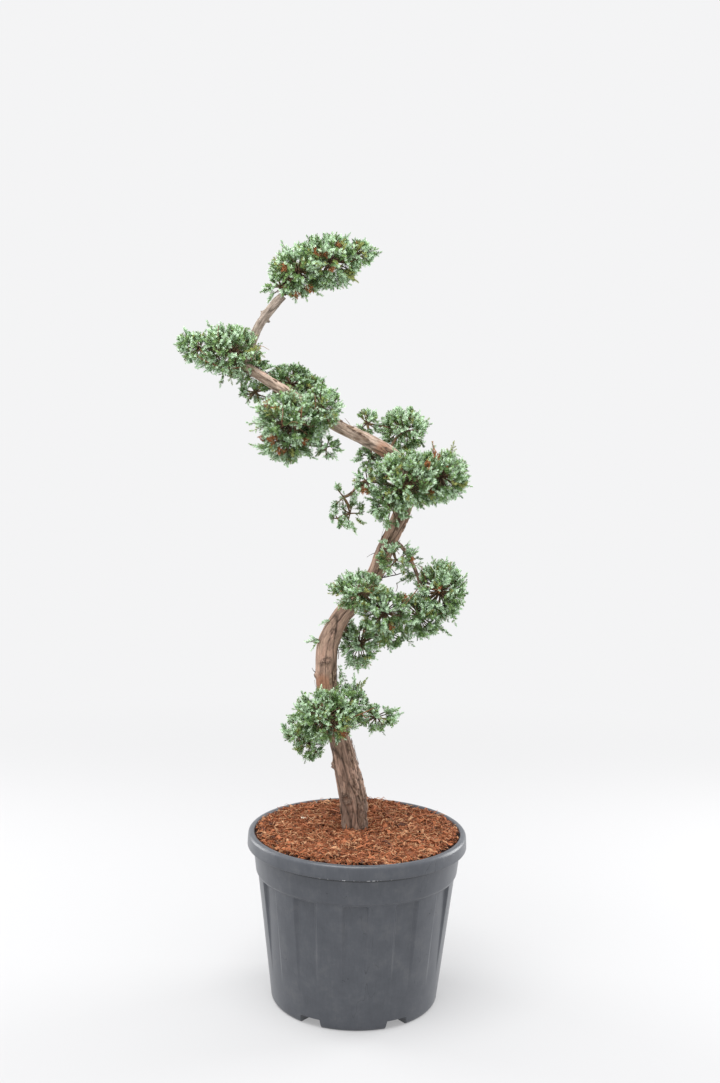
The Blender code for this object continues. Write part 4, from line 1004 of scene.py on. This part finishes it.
def add_shoots(name, paths, always):
    """Shoots on every frond of a pad; always keeps them where a pad's space would stop them."""
    global frond_count
    count = len(paths)
    length = np.linalg.norm(np.diff(paths, axis=1), axis=2).sum(1)
    plane = rng.uniform(0, math.tau, count)
    for number in range(SHOOTS_PER_FROND):
        share = (number + 1.0) / SHOOTS_PER_FROND
        at = share * (FROND_KNOTS - 1) * 0.999
        knot = int(at)
        base = paths[:, knot] + (paths[:, knot + 1] - paths[:, knot]) * (at - knot)
        forward = unit(paths[:, knot + 1] - paths[:, knot])
        last = number == SHOOTS_PER_FROND - 1
        roll = plane + math.pi * (number % 2) + rng.normal(0, 0.45, count)
        spread = 0.12 if last else rng.uniform(0.60, 1.30, (count, 1))
        way = unit(forward + sideways(forward, roll) * spread + np.array([0, 0, 0.16]))
        size = rng.uniform(0.0062, 0.0102, count) * (1.15 if last else 1.1 - 0.25 * share)
        tip = base + way * size[:, None]
        reach = reach_in_pad(name, tip)
        spacing = length * share / (number + 1.0)
        good = clear_of_stems(tip, 0.0015) & (rng.random(count) < spacing / 0.0030)
        if not always:
            good &= in_own_space(name, tip) & (reach > HIDDEN_REACH)
        for key, values in (("base", base), ("way", way), ("length", size), ("reach", reach),
                            ("frond", frond_count + np.arange(count)), ("end", np.full(count, last))):
            shoots[key].append(values[good])
    frond_count += count


for name, paths in pad_fronds.items():
    add_shoots(name, paths, False)
leader_first = frond_count
for name in PADS:
    chosen = [i for i, pad in enumerate(leader_pad) if pad == name]
    add_shoots(name, leader_paths[chosen], True)
    chosen = [i for i in chosen if i < sprigs_first]
    add_shoots(name, leader_paths[chosen], True)
shoots = {key: np.concatenate(values) for key, values in shoots.items()}
outer = (shoots["reach"] > 0.84) | (shoots["frond"] >= leader_first)
print("shoots:", len(outer), "outer:", int(outer.sum()))

# %% [markdown]
# ## Needles
#
# A needle is about 5 mm long and 1.6 mm wide, and hollow above: two triangles that meet at a fold
# show that. They stand in whorls of three, wide open low on the shoot and closing at its tip, which
# makes the little stars that this plant is known by. Shoots inside a pad carry fewer.

# %% Needle arrays
OUTER_WHORLS, INNER_WHORLS = 5, 3
NEEDLE_LENGTH, NEEDLE_WIDTH = 0.0049, 0.00165


def needle_arrays(base, way, length, whorls):
    """Needle corners as (shoots, needles, 4, 3): foot, left, tip, right."""
    count = len(base)
    way, across, above = frames_from(way, rng.uniform(0, math.tau, count))
    made = []
    for whorl in range(whorls):
        share = (whorl + 0.7) / whorls
        opening = np.radians(78.0 - 50.0 * share) + rng.normal(0, 0.12, count)
        size = NEEDLE_LENGTH * (1.0 - 0.30 * abs(share - 0.5)) * rng.uniform(0.8, 1.2, count)
        foot = base + way * (length * share * 0.86)[:, None]
        for number in range(3):
            angle = number * math.tau / 3.0 + whorl * math.pi / 3.0 + rng.normal(0, 0.15, count)
            out = across * np.cos(angle)[:, None] + above * np.sin(angle)[:, None]
            along = way * np.cos(opening)[:, None] + out * np.sin(opening)[:, None]
            face = way * np.sin(opening)[:, None] - out * np.cos(opening)[:, None]
            wide = np.cross(along, face)
            middle = foot + along * (0.42 * size)[:, None] + face * (0.00025)
            half = wide * (NEEDLE_WIDTH * 0.5)
            tip = foot + along * size[:, None] + face * (0.08 * size)[:, None]
            made.append(np.stack([foot, middle - half, tip, middle + half], 1))
    return np.stack(made, 1)


needle_sets = []
for chosen, whorls in ((outer, OUTER_WHORLS), (~outer, INNER_WHORLS)):
    made = needle_arrays(shoots["base"][chosen], shoots["way"][chosen], shoots["length"][chosen], whorls)
    needle_sets.append((np.flatnonzero(chosen), made))
print("needles:", sum(m.shape[0] * m.shape[1] for number, m in needle_sets))

# %% [markdown]
# ## The needles' finish
#
# The hollow side of a juniper needle is white with wax, and from a step away that reads as blue-green
# with pale stars. Old needles inside a pad are darker, some sprays are olive, and a few are dead and
# orange-brown. Each spray is dealt one plain colour, and the dead ones have their places. Wax makes
# them satin: roughness 0.6.

# %% Needle tints
NEEDLE_TINTS = {
    "waxy_pale": ("D4EACE", 0.55), "waxy_blue": ("A6C29E", 0.58), "fresh_green": ("8CAC6C", 0.6),
    "deep_green": ("5A7844", 0.62), "olive_green": ("9CA25C", 0.65), "dead_brown": ("A87046", 0.8),
}
PALE, BLUE, FRESH, DEEP, OLIVE, DEAD = range(6)
# Dead patches that show from the front: place across, height and size
DEAD_SPOTS = [(-0.064, 1.640, 0.007), (-0.107, 1.623, 0.009), (-0.092, 1.615, 0.008), (-0.179, 1.589, 0.010),
              (-0.124, 1.545, 0.010), (-0.151, 1.532, 0.009), (-0.079, 1.587, 0.007), (-0.193, 1.233, 0.012),
              (-0.176, 1.209, 0.009), (-0.127, 1.232, 0.008), (-0.224, 1.236, 0.009), (-0.206, 1.309, 0.008),
              (-0.056, 0.619, 0.010), (-0.032, 0.615, 0.008), (0.150, 1.208, 0.008), (0.130, 1.190, 0.007),
              (-0.002, 1.127, 0.011), (0.137, 1.130, 0.009), (0.105, 0.985, 0.006), (0.062, 0.845, 0.008),
              (0.155, 0.918, 0.009), (0.165, 0.930, 0.006)]
draw = rng.random(frond_count)[shoots["frond"]]
mood = rng.random(len(draw))
kind = np.full(len(draw), BLUE)
kind[draw < 0.38] = FRESH
kind[(draw > 0.70) & (draw < 0.86)] = DEEP
kind[(draw > 0.90) & (draw < 0.965)] = OLIVE
kind[(mood > 0.62 - 0.25 * shoots["end"]) & (kind < DEEP) & (shoots["reach"] > 0.82)] = PALE
kind[(shoots["reach"] < 0.76) & (shoots["frond"] < leader_first)] = DEEP
kind[(draw > 0.992) | ((shoots["reach"] < 0.76) & (mood < 0.02))] = DEAD
tips = shoots["base"] + shoots["way"] * shoots["length"][:, None]
for x, z, size in DEAD_SPOTS:
    near = np.hypot(tips[:, 0] - x, tips[:, 2] - z) < size
    kind[near & (tips[:, 1] < 0.01) & (mood < 0.8)] = DEAD
pad_names = list(PADS)
for index, (tint, (hex_code, roughness)) in enumerate(NEEDLE_TINTS.items()):
    finish, tree, shader = new_finish("juniper_needle_" + tint, roughness, 1.45)
    shader.inputs["Base Color"].default_value = linear(hex_code)
    corners = np.concatenate([made[kind[number] == index].reshape(-1, 4, 3) for number, made in needle_sets])
    pieces = max(1, math.ceil(len(corners) * 2 / 190000))
    for number, part in enumerate(np.array_split(corners, pieces)):
        points, faces = joined(part, np.array([[0, 1, 2], [0, 2, 3]]))
        mesh_piece(f"needles_{tint}_{number + 1}", points, faces, finish,
                   pad_names, smooth=False)

# %% Bare twigs that show
# Bends of each twig in metres, then its thickness in mm at both ends
BARE_TWIGS = {
    "twig_tan": [
        ([(0.030, -0.015, 0.958), (0.046, -0.031, 0.980), (0.060, -0.030, 0.996), (0.079, -0.015, 1.009)], 3.0, 2.2),
        ([(-0.236, -0.004, 1.392), (-0.238, -0.012, 1.408), (-0.231, -0.014, 1.420), (-0.226, -0.014, 1.428)], 3.0, 1.2),
        ([(-0.240, -0.004, 1.388), (-0.246, -0.014, 1.404), (-0.242, -0.016, 1.418), (-0.234, -0.016, 1.430)], 3.0, 1.2),
        ([(-0.229, -0.014, 1.424), (-0.222, -0.014, 1.427), (-0.214, -0.014, 1.423), (-0.207, -0.012, 1.419)], 1.6, 0.9),
        ([(-0.044, 0.004, 1.262), (-0.030, -0.016, 1.258), (-0.010, -0.022, 1.250), (0.010, -0.018, 1.240)], 1.8, 1.0)],
    "twig_brown": [
        ([(-0.262, -0.006, 1.382), (-0.300, -0.044, 1.380), (-0.345, -0.038, 1.396), (-0.384, -0.016, 1.424)], 3.4, 1.6),
        ([(-0.318, -0.044, 1.383), (-0.330, -0.048, 1.402), (-0.344, -0.044, 1.410), (-0.352, -0.040, 1.420)], 1.8, 1.0),
        ([(-0.310, -0.050, 1.430), (-0.311, -0.056, 1.442), (-0.312, -0.050, 1.452), (-0.312, -0.040, 1.466)], 2.2, 1.4),
        ([(-0.171, -0.100, 1.262), (-0.172, -0.124, 1.272), (-0.170, -0.128, 1.286), (-0.171, -0.122, 1.300)], 2.4, 1.4),
        ([(-0.134, -0.100, 1.270), (-0.133, -0.122, 1.280), (-0.132, -0.126, 1.292), (-0.131, -0.120, 1.303)], 2.6, 1.8),
        ([(-0.108, -0.080, 1.290), (-0.105, -0.106, 1.300), (-0.104, -0.110, 1.314), (-0.107, -0.104, 1.326)], 2.2, 1.2),
        ([(-0.148, -0.100, 1.262), (-0.140, -0.124, 1.270), (-0.150, -0.128, 1.272), (-0.158, -0.124, 1.268)], 1.8, 1.0),
        ([(-0.020, -0.050, 0.645), (-0.010, -0.074, 0.650), (0.010, -0.078, 0.660), (0.030, -0.070, 0.668)], 3.6, 2.0),
        ([(0.004, -0.078, 0.657), (0.010, -0.080, 0.650), (0.016, -0.076, 0.648), (0.021, -0.072, 0.650)], 1.8, 1.0),
        ([(0.072, -0.050, 0.934), (0.074, -0.030, 0.926), (0.074, -0.022, 0.918), (0.072, -0.016, 0.911)], 1.8, 1.2),
        ([(0.125, -0.026, 0.928), (0.112, -0.060, 0.918), (0.100, -0.078, 0.905), (0.086, -0.086, 0.890)], 2.6, 1.4),
        ([(0.125, -0.030, 0.928), (0.140, -0.066, 0.930), (0.152, -0.082, 0.926), (0.166, -0.080, 0.930)], 2.2, 1.2)],
    "twig_dark": [
        ([(0.038, -0.006, 0.941), (0.046, -0.010, 0.9405), (0.058, -0.014, 0.944), (0.072, -0.014, 0.947)], 3.0, 2.2),
        ([(0.072, -0.014, 0.947), (0.086, -0.018, 0.952), (0.100, -0.020, 0.952), (0.118, -0.022, 0.945)], 2.2, 1.8),
        ([(0.050, -0.006, 0.966), (0.058, -0.010, 0.962), (0.066, -0.014, 0.954), (0.072, -0.014, 0.947)], 2.2, 1.8),
        ([(0.046, -0.010, 0.941), (0.050, -0.014, 0.946), (0.053, -0.016, 0.950), (0.056, -0.016, 0.955)], 1.8, 0.9),
        ([(0.028, -0.002, 0.993), (0.022, -0.006, 0.991), (0.015, -0.008, 0.988), (0.008, -0.008, 0.983)], 1.8, 0.6),
        ([(-0.094, 0.010, 0.721), (-0.100, 0.008, 0.727), (-0.103, 0.008, 0.730), (-0.106, 0.006, 0.736)], 2.4, 0.9),
        ([(-0.093, 0.010, 0.798), (-0.100, 0.006, 0.798), (-0.106, 0.004, 0.796), (-0.112, 0.004, 0.794)], 1.8, 0.9)],
}
TWIG_TINTS = {"twig_tan": ("A88E74", 0.8), "twig_brown": ("7C5438", 0.8), "twig_dark": ("43332A", 0.85)}
# Small bare ends all round the pads, by chance
for name, (root, lobes) in PADS.items():
    for lobe in lobes:
        centre, size = np.array(lobe[:3]), np.array(lobe[3:6])
        for number in range(2):
            way = unit(rng.normal(0, 1, 3))
            side = sideways(way[None], rng.uniform(0, math.tau, 1))[0] * rng.uniform(0.004, 0.016)
            bends = [centre + way * size * share + side * (share - 0.6) * 3.0 for share in (0.6, 0.75, 0.88, 0.98)]
            if clear_of_stems(np.array(bends), 0.001).all() and in_own_space(name, np.array(bends[-1:]))[0]:
                BARE_TWIGS["twig_brown"].append((bends, 1.6, 0.8))
for tint, shapes in BARE_TWIGS.items():
    finish, tree, shader = new_finish("juniper_" + tint, TWIG_TINTS[tint][1])
    place = add(tree, "ShaderNodeTexCoord").outputs["Object"]
    # Scales of bark about 3 mm long
    scales = add(tree, "ShaderNodeTexNoise", {"Vector": place, "Scale": 330.0, "Detail": 3.0})
    shade = add(tree, "ShaderNodeMapRange", {0: scales.outputs["Fac"], 1: 0.3, 2: 0.7, 3: 0.65, 4: 1.25})
    tint_node = add(tree, "ShaderNodeVectorMath", {0: linear(TWIG_TINTS[tint][0])[:3], 3: shade.outputs[0]},
                    operation="SCALE")
    tree.links.new(tint_node.outputs[0], shader.inputs["Base Color"])
    paths = np.array([smooth_path([(*bend, 0.0) for bend in bends], 4)[:, :3] for bends, thick, thin in shapes])
    radii = np.array([np.linspace(thick, thin, paths.shape[1]) / 2000.0 for bends, thick, thin in shapes])
    points, faces = joined(*tube_mesh(paths, radii, 5))
    mesh_piece(tint + "s", points, faces, finish, pad_names)

# %% Twigs
starts, ends = np.array([t[0] for t in twigs]), np.array([t[1] for t in twigs])
thick = np.array([[t[2], t[3]] for t in twigs])
steps = np.linspace(0, 1, 4)
twig_paths = starts[:, None] + (ends - starts)[:, None] * steps[None, :, None]
bow = sideways(ends - starts, rng.uniform(0, math.tau, len(starts))) * rng.uniform(0, 0.10, (len(starts), 1))
bow *= np.linalg.norm(ends - starts, axis=1)[:, None]
twig_paths += bow[:, None] * np.sin(steps * math.pi)[None, :, None]
twig_radii = thick[:, :1] + (thick[:, 1:] - thick[:, :1]) * steps
twig_bark, tree, shader = new_finish("young_juniper_bark", 0.8)
place = add(tree, "ShaderNodeTexCoord").outputs["Object"]
mottle = add(tree, "ShaderNodeTexNoise", {"Vector": place, "Scale": 120.0, "Detail": 3.0})
tree.links.new(shade_ramp(tree, mottle.outputs["Fac"], (0.35, "443426"), (0.5, "5E4832"), (0.65, "7A6040")),
               shader.inputs["Base Color"])
points, faces = joined(*tube_mesh(twig_paths, twig_radii, 5))
mesh_piece("twigs_main", points, faces, twig_bark, pad_names)
fine_paths = np.concatenate([*pad_fronds.values(), leader_paths])[:, [0, 2, 4]]
radii = np.broadcast_to(np.linspace(0.0009, 0.0005, 3), fine_paths.shape[:2])
points, faces = joined(*tube_mesh(fine_paths, radii, 3))
green_twig, tree, shader = new_finish("green_juniper_twig", 0.7)
shader.inputs["Base Color"].default_value = linear("6C6C44")
mesh_piece("twigs_fine", points, faces, green_twig, pad_names)

# %% Shoot stems
# Each is a three-sided spike, because the needles hide all but its line
forward, across, above = frames_from(shoots["way"], np.zeros(len(tips)))
spikes = [shoots["base"] + (across * math.cos(turn) + above * math.sin(turn)) * 0.0005
          for turn in (0.0, math.tau / 3.0, 2.0 * math.tau / 3.0)] + [tips]
points, faces = joined(np.stack(spikes, 1)[outer], np.array([[0, 1, 3], [1, 2, 3], [2, 0, 3]]))
shoot_stem, tree, shader = new_finish("green_shoot_stem", 0.6)
shader.inputs["Base Color"].default_value = linear("7C8858")
mesh_piece("shoot_stems", points, faces, shoot_stem, pad_names)

# %% [markdown]
# ## Floor, light and camera
#
# The plant stands in a white studio: a pale floor that runs into an even white surround, two tall
# soft lights at its sides and a large one above. The side lights are what the pot's flanks mirror.
# Far from the plant the floor fades to the surround's own tone, so no horizon shows. The camera
# stands 2.9 m away and 1.33 m high, tilted 6.2 degrees down, with a lens of 45 mm on a 36 mm frame,
# and is turned 1.2 degrees round its own axis.

# %% Studio
SURROUND = (0.905, 0.905, 0.912, 1.0)
floor_mesh = bpy.data.meshes.new("studio_floor")
floor_mesh.from_pydata([(-30, -30, 0), (30, -30, 0), (30, 30, 0), (-30, 30, 0)], [], [(0, 1, 2, 3)])
floor = bpy.data.objects.new("studio_floor", floor_mesh)
bpy.context.scene.collection.objects.link(floor)
floor_paint_and_glow, tree, shader = new_finish("matt_white_floor_and_glow", 0.9)
shader.inputs["Base Color"].default_value = (0.53, 0.53, 0.535, 1.0)
shader.inputs["Specular IOR Level"].default_value = 0.1
place = add(tree, "ShaderNodeTexCoord").outputs["Object"]
away = add(tree, "ShaderNodeVectorMath", {0: place}, operation="LENGTH")
fade = add(tree, "ShaderNodeMapRange", {0: away.outputs["Value"], 1: 0.7, 2: 3.0},
           interpolation_type="SMOOTHSTEP")
# Painted light: near the plant about a third of the floor's tone is an even glow in the surround's tone that washes out
# the shadows, rising to all glow far off
glow_share = add(tree, "ShaderNodeMapRange", {0: fade.outputs[0], 3: 0.35, 4: 1.0})
glow = add(tree, "ShaderNodeEmission", {"Color": SURROUND, "Strength": 1.0})
faded = add(tree, "ShaderNodeMixShader", {0: glow_share.outputs[0], 1: shader.outputs[0], 2: glow.outputs[0]})
tree.links.new(faded.outputs[0], tree.nodes["Material Output"].inputs["Surface"])
floor_mesh.materials.append(floor_paint_and_glow)

world = bpy.data.worlds.new("studio")
world.use_nodes = True
world.node_tree.nodes["Background"].inputs["Color"].default_value = SURROUND
world.node_tree.nodes["Background"].inputs["Strength"].default_value = 1.0
bpy.context.scene.world = world


def soft_light(name, place, aim, size, watts):
    data = bpy.data.lights.new(name, "AREA")
    data.shape = "RECTANGLE"
    data.size, data.size_y = size
    data.energy = watts
    lamp = bpy.data.objects.new(name, data)
    bpy.context.scene.collection.objects.link(lamp)
    lamp.location = place
    lamp.rotation_euler = (Vector(aim) - Vector(place)).to_track_quat("-Z", "Y").to_euler()
    lamp.visible_camera = False
    return lamp


soft_light("overhead_softbox", (-0.5, -0.9, 3.3), (0.0, 0.0, 0.8), (2.0, 2.0), 84.0)
soft_light("left_softbox", (-2.4, 1.2, 1.2), (0.0, 0.0, 0.8), (1.4, 2.2), 48.0)
soft_light("right_softbox", (2.4, 1.2, 1.2), (0.0, 0.0, 0.8), (1.4, 2.2), 66.0)

camera_data = bpy.data.cameras.new("camera")
camera_data.sensor_width = 36.0
camera_data.lens = 1352.76 / 1083.0 * 36.0
camera = bpy.data.objects.new("camera", camera_data)
bpy.context.scene.collection.objects.link(camera)
camera.matrix_world = (Matrix.Translation((-0.0074, -2.8924, 1.3324))
                       @ Matrix.Rotation(math.radians(90.0 - 6.249), 4, "X")
                       @ Matrix.Rotation(math.radians(1.218), 4, "Z"))
bpy.context.scene.camera = camera
bpy.context.scene.view_settings.view_transform = "Standard"
print("camera", [round(v, 3) for v in camera.location], "lens", round(camera_data.lens, 2), "mm")
